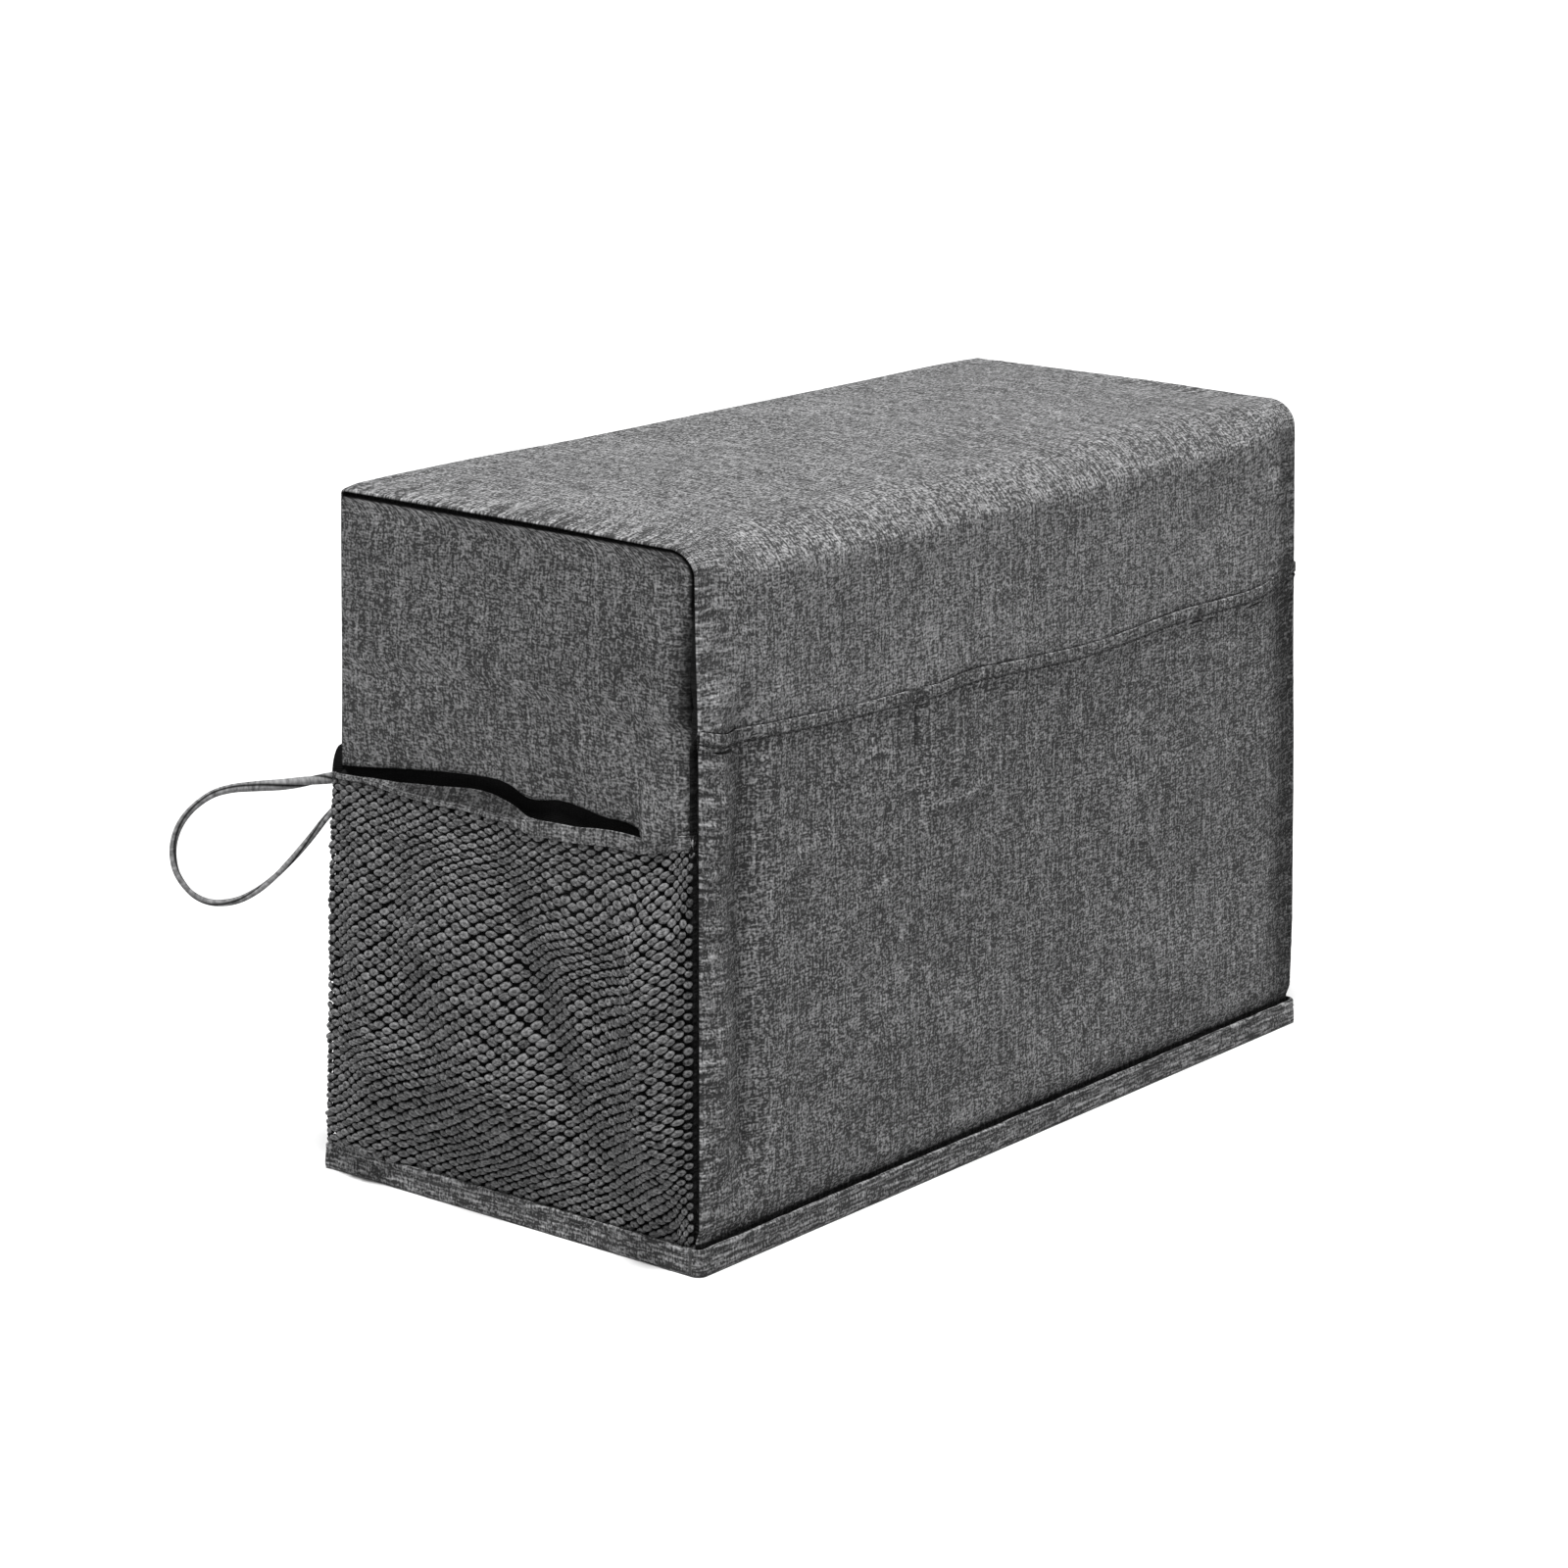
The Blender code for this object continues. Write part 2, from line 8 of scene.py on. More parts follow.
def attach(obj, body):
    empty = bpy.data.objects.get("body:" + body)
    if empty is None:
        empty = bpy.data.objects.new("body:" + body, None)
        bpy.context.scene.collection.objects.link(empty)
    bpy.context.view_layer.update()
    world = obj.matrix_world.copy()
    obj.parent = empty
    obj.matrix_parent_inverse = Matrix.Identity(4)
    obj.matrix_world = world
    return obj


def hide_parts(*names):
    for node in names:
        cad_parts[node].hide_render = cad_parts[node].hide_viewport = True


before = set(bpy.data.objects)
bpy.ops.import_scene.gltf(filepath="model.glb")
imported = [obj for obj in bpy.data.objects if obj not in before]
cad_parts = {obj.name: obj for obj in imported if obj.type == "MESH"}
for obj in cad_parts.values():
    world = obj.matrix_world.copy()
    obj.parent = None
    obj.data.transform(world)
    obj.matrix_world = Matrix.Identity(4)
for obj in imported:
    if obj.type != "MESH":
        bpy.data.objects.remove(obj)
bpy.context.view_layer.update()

scene = bpy.context.scene

# ------------------------------------------------------------------ the sizes
# The same driving sizes as the construction, in metres.
LENGTH, DEPTH, HEIGHT = 0.4343, 0.1905, 0.300
HALF_L, HALF_D = LENGTH / 2, DEPTH / 2
FLARE_LEFT, FLARE_RIGHT = 0.0046, -0.0007
FLARE_FRONT, FLARE_BACK = 0.0053, 0.0126
TOP_TAPER = -0.0245
CENTRE_X = 0.0039
END_STEP = 0.0019
SEAM_ROLL_Y, SEAM_ROLL_Z = 0.0140, 0.0115
SOFT_ROLL_Y, SOFT_ROLL_Z = 0.0330, 0.0190
ROLL_RUN = 0.055
BACK_ROLL = 0.0026
BAND_HEIGHT, BAND_PROUD, BAND_RADIUS = 0.0115, 0.0025, 0.0042
CORD_DIAMETER = 0.0029
LOOP_OUT = (-0.633, 0.774)

EDGE_R = 0.0009          # rounding where the strip turns onto an end
CREASE_R = 0.0004        # rounding into the seam
CREASE_DEPTH = 0.0013    # distance of the seam from the strip's faces
GAP_TOP = 0.0008         # width of the open seam along the top
GAP_FRONT = 0.0027       # and down the front left edge
BACK_WRAP = 0.0042       # the left panel turns this far round the back


# --------------------------------------------------------------------- camera
def make_camera():
    yaw, pitch = math.radians(-50.722), math.radians(14.803)
    back = Vector((math.sin(yaw) * math.cos(pitch),
                   -math.cos(yaw) * math.cos(pitch), math.sin(pitch)))
    data = bpy.data.cameras.new("view")
    data.sensor_width = 36.0
    data.lens = 103.24
    data.clip_start = 0.05
    data.clip_end = 20.0
    cam = bpy.data.objects.new("view", data)
    cam.location = (-1.52666 + CENTRE_X, -1.21842, 0.66112)
    cam.rotation_euler = (-back).to_track_quat("-Z", "Y").to_euler()
    scene.collection.objects.link(cam)
    scene.camera = cam


make_camera()


# -------------------------------------------------------------------- helpers
def smooth(v):
    v = np.clip(v, 0.0, 1.0)
    return v * v * (3 - 2 * v)


def along(table, place):
    """A smooth line through a table of (place, value) rows."""
    xs = np.array([r[0] for r in table])
    ys = np.array([r[1] for r in table])
    slopes = np.gradient(ys, xs)
    p = np.clip(np.asarray(place, float), xs[0], xs[-1])
    k = np.clip(np.searchsorted(xs, p, side="right") - 1, 0, len(xs) - 2)
    h = xs[k + 1] - xs[k]
    t = (p - xs[k]) / h
    return ((1 + 2 * t) * (1 - t) ** 2 * ys[k] + t * (1 - t) ** 2 * h * slopes[k]
            + t * t * (3 - 2 * t) * ys[k + 1] + t * t * (t - 1) * h * slopes[k + 1])


def noise(u, v, size_u, size_v, seed):
    """Soft value noise from -1 to 1 with cells of the given size."""
    rng = np.random.default_rng(seed)
    lattice = rng.uniform(-1, 1, (97, 89))
    a = np.asarray(u, float) / size_u + 31.7
    b = np.asarray(v, float) / size_v + 17.3
    i, j = np.floor(a).astype(int), np.floor(b).astype(int)
    fa, fb = a - i, b - j
    fa, fb = fa * fa * (3 - 2 * fa), fb * fb * (3 - 2 * fb)
    i0, i1, j0, j1 = i % 97, (i + 1) % 97, j % 89, (j + 1) % 89
    return ((lattice[i0, j0] * (1 - fa) + lattice[i1, j0] * fa) * (1 - fb)
            + (lattice[i0, j1] * (1 - fa) + lattice[i1, j1] * fa) * fb)


def lean(x, y, z):
    """Carry points of the upright box to the cover's leaning sides."""
    t = 1 - z / HEIGHT
    nx = x * (1 + t * (FLARE_LEFT + FLARE_RIGHT) / LENGTH)
    nx = nx + (t - 1) * (FLARE_RIGHT - FLARE_LEFT) / 2
    ny = y * (1 + TOP_TAPER * (x / HALF_L) * (1 - t))
    ny = ny * (1 + t * (FLARE_FRONT + FLARE_BACK) / DEPTH)
    ny = ny + (t - 1) * (FLARE_BACK - FLARE_FRONT) / 2
    return np.stack([nx + CENTRE_X, ny, z + 0 * x], axis=-1)


def left_plane(z):
    return -HALF_L + END_STEP * smooth((HEIGHT - z) / 0.100)


def normals(grid):
    du = np.gradient(grid, axis=0)
    dv = np.gradient(grid, axis=1)
    n = np.cross(du, dv)
    return n / np.maximum(np.linalg.norm(n, axis=2, keepdims=True), 1e-12)


def link(name, mesh, mat):
    mesh.materials.append(mat)
    obj = bpy.data.objects.new(name, mesh)
    scene.collection.objects.link(obj)
    return obj


def set_attribute(mesh, name, values):
    at = mesh.attributes.new(name, "FLOAT_VECTOR", "POINT")
    at.data.foreach_set("vector", np.ascontiguousarray(values, np.float32).ravel())


def raw_mesh(name, points, quads, mat, cloth=None, edge=None, flat=False):
    mesh = bpy.data.meshes.new(name)
    points = np.asarray(points, np.float32).reshape(-1, 3)
    quads = np.asarray(quads, np.int32)
    mesh.vertices.add(len(points))
    mesh.vertices.foreach_set("co", points.ravel())
    mesh.loops.add(quads.size)
    mesh.loops.foreach_set("vertex_index", quads.ravel())
    mesh.polygons.add(len(quads))
    width = quads.shape[1]
    mesh.polygons.foreach_set("loop_start", np.arange(len(quads)) * width)
    mesh.update(calc_edges=True)
    mesh.validate()
    if not flat:
        mesh.shade_smooth()
    if cloth is not None:
        set_attribute(mesh, "cloth", np.asarray(cloth).reshape(-1, 3))
    if edge is not None:
        set_attribute(mesh, "edge", np.asarray(edge).reshape(-1, 3))
    return link(name, mesh, mat)


def grid_quads(rows, cols, wrap_cols=False):
    i = np.arange(rows - 1)[:, None]
    j = np.arange(cols if wrap_cols else cols - 1)[None, :]
    k = (j + 1) % cols
    quads = np.stack([i * cols + j, (i + 1) * cols + j,
                      (i + 1) * cols + k, i * cols + k], axis=-1)
    return quads.reshape(-1, 4)


def grid_mesh(name, grid, mat, cloth, edge, flip=False, wrap_cols=False):
    rows, cols = grid.shape[:2]
    quads = grid_quads(rows, cols, wrap_cols)
    if flip:
        quads = quads[:, ::-1]
    return raw_mesh(name, grid, quads, mat, cloth, edge)


def facing(grid, toward):
    """True where the grid's own normals face away from the wanted side."""
    n = normals(grid).reshape(-1, 3).mean(0)
    return float(n @ np.asarray(toward)) < 0


# ------------------------------------------------------------------ materials
class Tree:
    """Small helper that wires shader nodes."""

    def __init__(self, name):
        self.mat = bpy.data.materials.new(name)
        self.mat.use_nodes = True
        self.tree = self.mat.node_tree
        self.shader = self.tree.nodes["Principled BSDF"]

    def put(self, socket, value):
        if isinstance(value, bpy.types.NodeSocket):
            self.tree.links.new(value, socket)
        else:
            socket.default_value = value

    def math(self, op, a, b=None, clamp=False):
        node = self.tree.nodes.new("ShaderNodeMath")
        node.operation = op
        node.use_clamp = clamp
        self.put(node.inputs[0], a)
        if b is not None:
            self.put(node.inputs[1], b)
        return node.outputs[0]

    def add(self, a, b):
        return self.math("ADD", a, b)

    def sub(self, a, b):
        return self.math("SUBTRACT", a, b)

    def mul(self, a, b):
        return self.math("MULTIPLY", a, b)

    def join(self, x, y, z=0.0):
        node = self.tree.nodes.new("ShaderNodeCombineXYZ")
        for socket, value in zip(node.inputs, (x, y, z)):
            self.put(socket, value)
        return node.outputs[0]

    def parts(self, vector):
        node = self.tree.nodes.new("ShaderNodeSeparateXYZ")
        self.put(node.inputs[0], vector)
        return node.outputs

    def attribute(self, name):
        node = self.tree.nodes.new("ShaderNodeAttribute")
        node.attribute_name = name
        return node.outputs["Vector"]

    def noise(self, x, y, detail=1.0, rough=0.5, z=0.0):
        node = self.tree.nodes.new("ShaderNodeTexNoise")
        node.noise_dimensions = "3D"
        self.put(node.inputs["Vector"], self.join(x, y, z))
        node.inputs["Scale"].default_value = 1.0
        node.inputs["Detail"].default_value = detail
        node.inputs["Roughness"].default_value = rough
        return node.outputs["Fac"]

    def span(self, value, low, high, to_low, to_high, soft=True):
        node = self.tree.nodes.new("ShaderNodeMapRange")
        node.interpolation_type = "SMOOTHSTEP" if soft else "LINEAR"
        self.put(node.inputs["Value"], value)
        for key, v in (("From Min", low), ("From Max", high),
                       ("To Min", to_low), ("To Max", to_high)):
            self.put(node.inputs[key], v)
        return node.outputs["Result"]

    def mix(self, share, a, b):
        """Mix of two numbers."""
        return self.add(self.mul(a, self.sub(1.0, share)), self.mul(b, share))

    def grey(self, value, tint=(1.0, 1.0, 1.012)):
        node = self.tree.nodes.new("ShaderNodeCombineColor")
        for socket, k in zip(node.inputs, tint):
            self.put(socket, self.mul(value, k))
        return node.outputs[0]

    def bump(self, height, distance, strength=1.0, normal=None):
        node = self.tree.nodes.new("ShaderNodeBump")
        node.inputs["Strength"].default_value = strength
        node.inputs["Distance"].default_value = distance
        self.put(node.inputs["Height"], height)
        if normal is not None:
            self.put(node.inputs["Normal"], normal)
        return node.outputs["Normal"]


def woven(name, mean=0.115, contrast=1.0, pitch=0.00062, crinkle=0.0024,
          streak=0.0, sheen=0.02):
    """Melange plain weave: light and dark slub yarns both ways."""
    t = Tree(name)
    u, v, _ = t.parts(t.attribute("cloth"))
    # The edge attribute carries crinkle pull both ways and the amount of painted shade.
    pull_u, pull_v, painted_crease_shade = t.parts(t.attribute("edge"))
    # The threads wander a little.
    drift = t.noise(t.mul(u, 70.0), t.mul(v, 70.0), 1.0, 0.5, 3.0)
    drift2 = t.noise(t.mul(u, 70.0), t.mul(v, 70.0), 1.0, 0.5, 9.0)
    wu = t.add(t.mul(u, 1 / pitch), t.mul(t.sub(drift, 0.5), 4.0))
    wv = t.add(t.mul(v, 1 / pitch), t.mul(t.sub(drift2, 0.5), 4.0))
    iu, iv = t.math("FLOOR", wu), t.math("FLOOR", wv)
    fu = t.sub(t.sub(wu, iu), 0.5)
    fv = t.sub(t.sub(wv, iv), 0.5)
    # Long light and dark threads both ways, one or the other on top.
    warp = t.sub(t.noise(t.mul(u, 1300.0), t.mul(v, 300.0), 0.6, 0.5, 1.5), 0.5)
    weft = t.sub(t.noise(t.mul(u, 300.0), t.mul(v, 1300.0), 0.6, 0.5, 5.5), 0.5)
    choose = t.noise(t.mul(u, 470.0), t.mul(v, 470.0), 0.5, 0.5, 8.8)
    choose = t.span(choose, 0.42, 0.58, 0.30, 0.70)
    speck = t.sub(t.noise(t.mul(u, 880.0), t.mul(v, 1020.0), 0.5, 0.5, 2.2), 0.5)
    parity = t.math("PINGPONG", t.add(iu, iv), 1.0)
    tone = t.add(t.mul(t.mix(choose, warp, weft), 1.45), t.mul(speck, 1.20))
    value = t.add(0.49, t.mul(tone, 1.75 * contrast))
    slub = t.sub(t.noise(t.mul(u, 760.0), t.mul(v, 40.0), 0.5, 0.5, 7.7), 0.5)
    value = t.add(value, t.mul(slub, 0.75 * contrast))
    if streak:
        line = t.sub(t.noise(t.mul(u, 900.0), t.mul(v, 95.0), 0.5, 0.5, 6.1), 0.5)
        value = t.add(value, t.mul(line, streak))
    cloud = t.noise(t.mul(u, 30.0), t.mul(v, 30.0), 1.0, 0.5, 4.4)
    value = t.add(value, t.mul(t.sub(cloud, 0.5), 0.20))
    # Painted shade: gaps between the yarns are darker.
    gap = t.math("MAXIMUM", t.math("ABSOLUTE", fu), t.math("ABSOLUTE", fv))
    value = t.mul(value, t.span(gap, 0.34, 0.52, 1.04, 0.62))
    # Fine crinkles drawn in by the seams, in the bump and as painted light and shade in the
    # colour.
    crimp_v = t.noise(t.mul(u, 46.0), t.mul(v, 430.0), 1.5, 0.55, 0.3)
    crimp_u = t.noise(t.mul(u, 430.0), t.mul(v, 46.0), 1.5, 0.55, 0.9)
    folds = t.add(t.mul(t.sub(crimp_v, 0.5), pull_v),
                  t.mul(t.sub(crimp_u, 0.5), pull_u))
    value = t.add(value, t.mul(folds, 1.85))
    value = t.math("MAXIMUM", value, 0.16)
    value = t.mul(value, mean * 2.0)
    # Painted shade: darker by the edge attribute's third part, in seams, creases and hidden
    # folds.
    value = t.mul(value, t.span(painted_crease_shade, 0.0, 1.0, 1.0, 0.035))
    t.put(t.shader.inputs["Base Color"], t.grey(value))
    t.shader.inputs["Roughness"].default_value = 0.86
    t.shader.inputs["Specular IOR Level"].default_value = 0.08
    t.shader.inputs["Sheen Weight"].default_value = sheen
    t.shader.inputs["Sheen Roughness"].default_value = 0.50
    # Relief: rounded yarns that pass over and under each other.
    round_u = t.sub(1.0, t.mul(t.mul(fu, fu), 4.0))
    round_v = t.sub(1.0, t.mul(t.mul(fv, fv), 4.0))
    relief = t.mix(parity, round_u, round_v)
    relief = t.add(relief, t.mul(tone, 0.8))
    first = t.bump(folds, crinkle)
    t.put(t.shader.inputs["Normal"], t.bump(relief, 0.00015, 0.7, first))
    return t.mat


def plain_dark(name, value, rough=0.95):
    """Matt dark cloth with a fine weave."""
    t = Tree(name)
    u, v, _ = t.parts(t.attribute("cloth"))
    pattern = t.add(t.math("SINE", t.mul(u, 7800.0)),
                    t.math("SINE", t.mul(v, 7800.0)))
    cloud = t.noise(t.mul(u, 120.0), t.mul(v, 120.0), 2.0)
    tone = t.mul(t.span(cloud, 0.2, 0.8, 0.75, 1.25), value)
    t.put(t.shader.inputs["Base Color"], t.grey(tone))
    t.shader.inputs["Roughness"].default_value = rough
    t.shader.inputs["Specular IOR Level"].default_value = 0.12
    t.put(t.shader.inputs["Normal"], t.bump(pattern, 0.0001, 0.7))
    return t.mat


def yarn(name, value, contrast=0.5, twist=2600.0, rough=0.7, with_painted_shade=False,
         grooved=False):
    """Twisted yarn: cloth.x runs along it and cloth.y round it."""
    t = Tree(name)
    u, v, w = t.parts(t.attribute("cloth"))
    ply = t.math("SINE", t.add(t.mul(u, twist), t.mul(v, 6.2832)))
    fluff = t.noise(t.mul(u, 700.0), t.mul(v, 3.0), 2.0, 0.6, t.mul(w, 17.0))
    cloud = t.noise(t.mul(u, 60.0), 0.0, 1.0, 0.5, t.mul(w, 5.0))
    tone = t.add(1.0, t.mul(t.sub(fluff, 0.5), 2.0 * contrast))
    tone = t.add(tone, t.mul(t.sub(cloud, 0.5), contrast))
    tone = t.add(tone, t.mul(ply, 0.10))
    tone = t.mul(t.math("MAXIMUM", tone, 0.25), value)
    # Painted shade read from the edge attribute's third part.
    if with_painted_shade:
        deep = t.parts(t.attribute("edge"))[2]
        tone = t.mul(tone, t.span(deep, 0.0, 1.0, 1.0, 0.03, soft=False))
    # Painted shade in the groove between the cord's two plies.
    if grooved:
        lobe = t.math("ABSOLUTE", t.math("COSINE", t.mul(v, 6.2832)))
        lobe = t.span(lobe, 0.05, 0.60, 0.0, 1.0)
        tone = t.mul(tone, t.add(0.04, t.mul(lobe, 0.96)))
    t.put(t.shader.inputs["Base Color"], t.grey(tone))
    t.shader.inputs["Roughness"].default_value = rough
    t.shader.inputs["Specular IOR Level"].default_value = 0.10
    t.put(t.shader.inputs["Normal"], t.bump(t.add(ply, fluff), 0.00012, 0.8))
    return t.mat


# One melange cloth in three copies: the pocket's and the ends' are darker than the strip's, as
# painted shade.
CLOTH_TOP = woven("melange_strip", mean=0.121, contrast=1.00)
CLOTH_POCKET_SHADED = woven("melange_pocket", mean=0.0895, contrast=1.30)
CLOTH_END_SHADED = woven("melange_end", mean=0.083, contrast=1.05)
CLOTH_BAND = woven("melange_band", mean=0.086, contrast=1.1, streak=2.8)
CLOTH_RIM = woven("melange_rim", mean=0.096)
DARK = plain_dark("black_lining", 0.005)
NET_YARN = yarn("net_yarn", 0.108, 1.7, 900.0, with_painted_shade=True)
THREAD = yarn("sewing_thread", 0.075, 0.3, 5200.0)
CORD = yarn("loop_cord", 0.140, 1.2, 1500.0, grooved=True)

# ------------------------------------------------------------------- the tables
# Soft folds of the front: x, half width, lowest and highest reach, out.
FRONT_FOLDS = (
    (-0.2060, 0.0080, 0.020, 0.262, 0.0014),
    (-0.1865, 0.0095, 0.020, 0.250, -0.0042),
    (-0.1680, 0.0110, 0.030, 0.235, 0.0012),
    (-0.1450, 0.0220, 0.030, 0.200, -0.0008),
    (-0.0500, 0.0450, 0.030, 0.205, 0.0010),
    (0.0650, 0.0600, 0.030, 0.210, -0.0008),
    (0.1300, 0.0350, 0.030, 0.215, 0.0009),
    (0.1880, 0.0100, 0.020, 0.282, 0.0008),
    (0.2080, 0.0100, 0.020, 0.288, -0.0012),
)
END_FOLDS = (
    (-0.0930, 0.0060, 0.150, 0.284, -0.0042),
    (-0.0780, 0.0090, 0.175, 0.275, 0.0016),
    (-0.0600, 0.0120, 0.175, 0.270, -0.0006),
    (0.0100, 0.0500, 0.150, 0.290, -0.0007),
    (0.0600, 0.0250, 0.180, 0.280, 0.0006),
)
NET_FOLDS = (
    # y at the top, y at the foot, half width, out at the foot, at the top
    (-0.0760, -0.0800, 0.0110, 0.0062, 0.0034),
    (-0.0480, -0.0560, 0.0110, -0.0026, -0.0012),
    (0.0100, -0.0500, 0.0140, -0.0072, -0.0024),
    (0.0420, -0.0060, 0.0170, 0.0034, 0.0010),
    (0.0700, 0.0300, 0.0110, -0.0022, -0.0012),
    (0.0880, 0.0560, 0.0100, 0.0016, 0.0008),
)
POCKET_EDGE = (
    (-0.2171, 0.2270), (-0.2030, 0.2235), (-0.1700, 0.2220),
    (-0.1180, 0.2187), (-0.0740, 0.2179), (-0.0640, 0.2177),
    (-0.0440, 0.2190), (0.0130, 0.2163), (0.0430, 0.2149),
    (0.1190, 0.2174), (0.2000, 0.2196), (0.2171, 0.2240),
)
PANEL_EDGE = (
    (-0.0952, 0.1815), (-0.0860, 0.1812), (-0.0800, 0.1792),
    (-0.0745, 0.1776), (-0.0705, 0.1788), (-0.0665, 0.1812),
    (-0.0600, 0.1828),
    (-0.0480, 0.1832), (-0.0385, 0.1846), (-0.0290, 0.1856),
    (-0.0220, 0.1856), (-0.0120, 0.1838), (-0.0050, 0.1842),
    (0.0020, 0.1874), (0.0067, 0.1886), (0.0210, 0.1886),
    (0.0350, 0.1876), (0.0540, 0.1860), (0.0770, 0.1830),
    (0.0952, 0.1806),
)
RIM_EDGE = (
    (-0.0952, 0.1838), (-0.0860, 0.1834), (-0.0800, 0.1812),
    (-0.0745, 0.1796), (-0.0705, 0.1790), (-0.0665, 0.1798),
    (-0.0600, 0.1810), (-0.0420, 0.1800),
    (-0.0290, 0.1799), (-0.0140, 0.1776), (-0.0050, 0.1767),
    (0.0136, 0.1781), (0.0420, 0.1790), (0.0700, 0.1796),
    (0.0952, 0.1780),
)
# How far the rim's inner half stands above its outer edge.
RIM_BACK = (
    (-0.0952, 0.0000), (-0.0300, 0.0000), (-0.0150, 0.0022),
    (-0.0050, 0.0062), (0.0020, 0.0076), (0.0115, 0.0074),
    (0.0254, 0.0058), (0.0400, 0.0040), (0.0540, 0.0020),
    (0.0700, 0.0004), (0.0952, 0.0000),
)
LOOP_ROUTE = (
    (-0.0009, 0.1748), (0.0101, 0.1733), (0.0226, 0.1715),
    (0.0352, 0.1706), (0.0457, 0.1695), (0.0545, 0.1666),
    (0.0628, 0.1603), (0.0684, 0.1526), (0.0711, 0.1438),
    (0.0707, 0.1349), (0.0678, 0.1280), (0.0626, 0.1221),
    (0.0552, 0.1190), (0.0458, 0.1196), (0.0374, 0.1233),
    (0.0290, 0.1296), (0.0206, 0.1381), (0.0122, 0.1479),
    (0.0059, 0.1560), (-0.0009, 0.1636),
)
# The top rises a little behind the left seam: x and height.
CROWN = (
    (-0.2171, 0.0010), (-0.2100, 0.0021), (-0.1970, 0.0025),
    (-0.1700, 0.0027), (-0.1200, 0.0025), (-0.0930, 0.0020),
    (-0.0500, 0.0017), (0.0000, 0.0017), (0.0660, 0.0016),
    (0.1200, 0.0015), (0.2050, 0.0014), (0.2171, 0.0010),
)
# Small puckers of the front: x, z, half length, half width, tilt, height.
PUCKERS = (
    (-0.0400, 0.1655, 0.0150, 0.0020, 6.0, 0.0018),
    (-0.0480, 0.1615, 0.0120, 0.0028, 6.0, -0.0006),
    (-0.0480, 0.1760, 0.0100, 0.0014, 80.0, 0.0011),
    (-0.0410, 0.1770, 0.0100, 0.0013, 95.0, 0.0012),
    (-0.0345, 0.1765, 0.0090, 0.0013, 100.0, 0.0006),
    (-0.1880, 0.2290, 0.0090, 0.0030, 80.0, -0.0012),
    (-0.1960, 0.2100, 0.0100, 0.0040, 85.0, -0.0009),
    (-0.1180, 0.1900, 0.0150, 0.0030, 14.0, 0.0008),
    (-0.1500, 0.1600, 0.0200, 0.0040, 20.0, 0.0007),
    (-0.1000, 0.1350, 0.0180, 0.0040, 12.0, 0.0006),
    (0.2060, 0.2700, 0.0130, 0.0026, 80.0, -0.0034),
    (0.2010, 0.2660, 0.0120, 0.0024, 70.0, 0.0016),
    (0.1990, 0.2560, 0.0140, 0.0050, -60.0, 0.0012),
    (0.2000, 0.2350, 0.0160, 0.0040, 75.0, -0.0010),
    (0.0600, 0.1820, 0.0180, 0.0040, 10.0, 0.0008),
    (0.1400, 0.1940, 0.0160, 0.0035, -8.0, 0.0008),
    (0.1450, 0.1350, 0.0200, 0.0050, 25.0, 0.0006),
    (0.0300, 0.1250, 0.0200, 0.0050, -15.0, 0.0006),
    (-0.0900, 0.0700, 0.0220, 0.0060, 18.0, 0.0006),
    (0.0900, 0.0650, 0.0220, 0.0060, -20.0, 0.0006),
)


# ------------------------------------------------------------- front surface
def fold_sum(table, place, z):
    total = np.zeros(np.broadcast(place, z).shape)
    for centre, half, low, high, out in table:
        total += (out * np.exp(-((place - centre) / half) ** 2)
                  * smooth((z - low) / 0.030) * smooth((high - z) / 0.030))
    return total


def pucker_sum(x, z):
    total = np.zeros(np.broadcast(x, z).shape)
    for cx, cz, half, width, tilt, height in PUCKERS:
        a = math.radians(tilt)
        p = (x - cx) * math.cos(a) + (z - cz) * math.sin(a)
        q = -(x - cx) * math.sin(a) + (z - cz) * math.cos(a)
        total += height * np.exp(-(p / half) ** 2 - (q / width) ** 2)
    return total


def foot(z):
    """The panels are drawn in where the binding holds them."""
    return 0.0018 * (1 - smooth((z - 0.0120) / 0.0070))


def end_gap(x):
    return np.minimum(x + HALF_L, HALF_L - x)


def skin(x, z):
    """The front's outermost surface, measured in from the front plane."""
    near = end_gap(x)
    inside = smooth(near / 0.016) * smooth((z - 0.013) / 0.030)
    soft = (0.0011 * noise(x, z, 0.070, 0.055, 11)
            + 0.0006 * noise(x + 0.3 * z, z, 0.026, 0.034, 12)
            + 0.00028 * noise(x - 0.5 * z, z, 0.012, 0.015, 14))
    reach = np.where(x < 0, 0.019, 0.010)
    pull = np.exp(-near / reach) * smooth(near / 0.0025)
    ripple = 0.00115 * noise(x, z, 0.030, 0.0040, 13) * pull
    return (foot(z) - fold_sum(FRONT_FOLDS, x, z) - pucker_sum(x, z) * inside
            - soft * inside - ripple)


def edge_columns():
    """(distance in from the end, depth, painted shade) at an end seam."""
    # The deepest columns, hidden in the seam, are painted black.
    cols = [(0.0036, CREASE_DEPTH + 0.0052, 1.0),
            (0.0030, CREASE_DEPTH + 0.0044, 1.0),
            (0.0027, CREASE_DEPTH + 0.0008, 1.0),
            (0.0020, CREASE_DEPTH, 1.0), (CREASE_R, CREASE_DEPTH, 1.0)]
    for a, dark in ((60, 0.95), (30, 0.7)):
        a = math.radians(a)
        cols.append((CREASE_R * (1 - math.cos(a)),
                     CREASE_DEPTH - CREASE_R * (1 - math.sin(a)), dark))
    for a, dark in ((90, 0.4), (66, 0.1), (44, 0.0), (22, 0.0)):
        a = math.radians(a)
        cols.append((EDGE_R * (1 - math.sin(a)), EDGE_R * (1 - math.cos(a)), dark))
    return cols


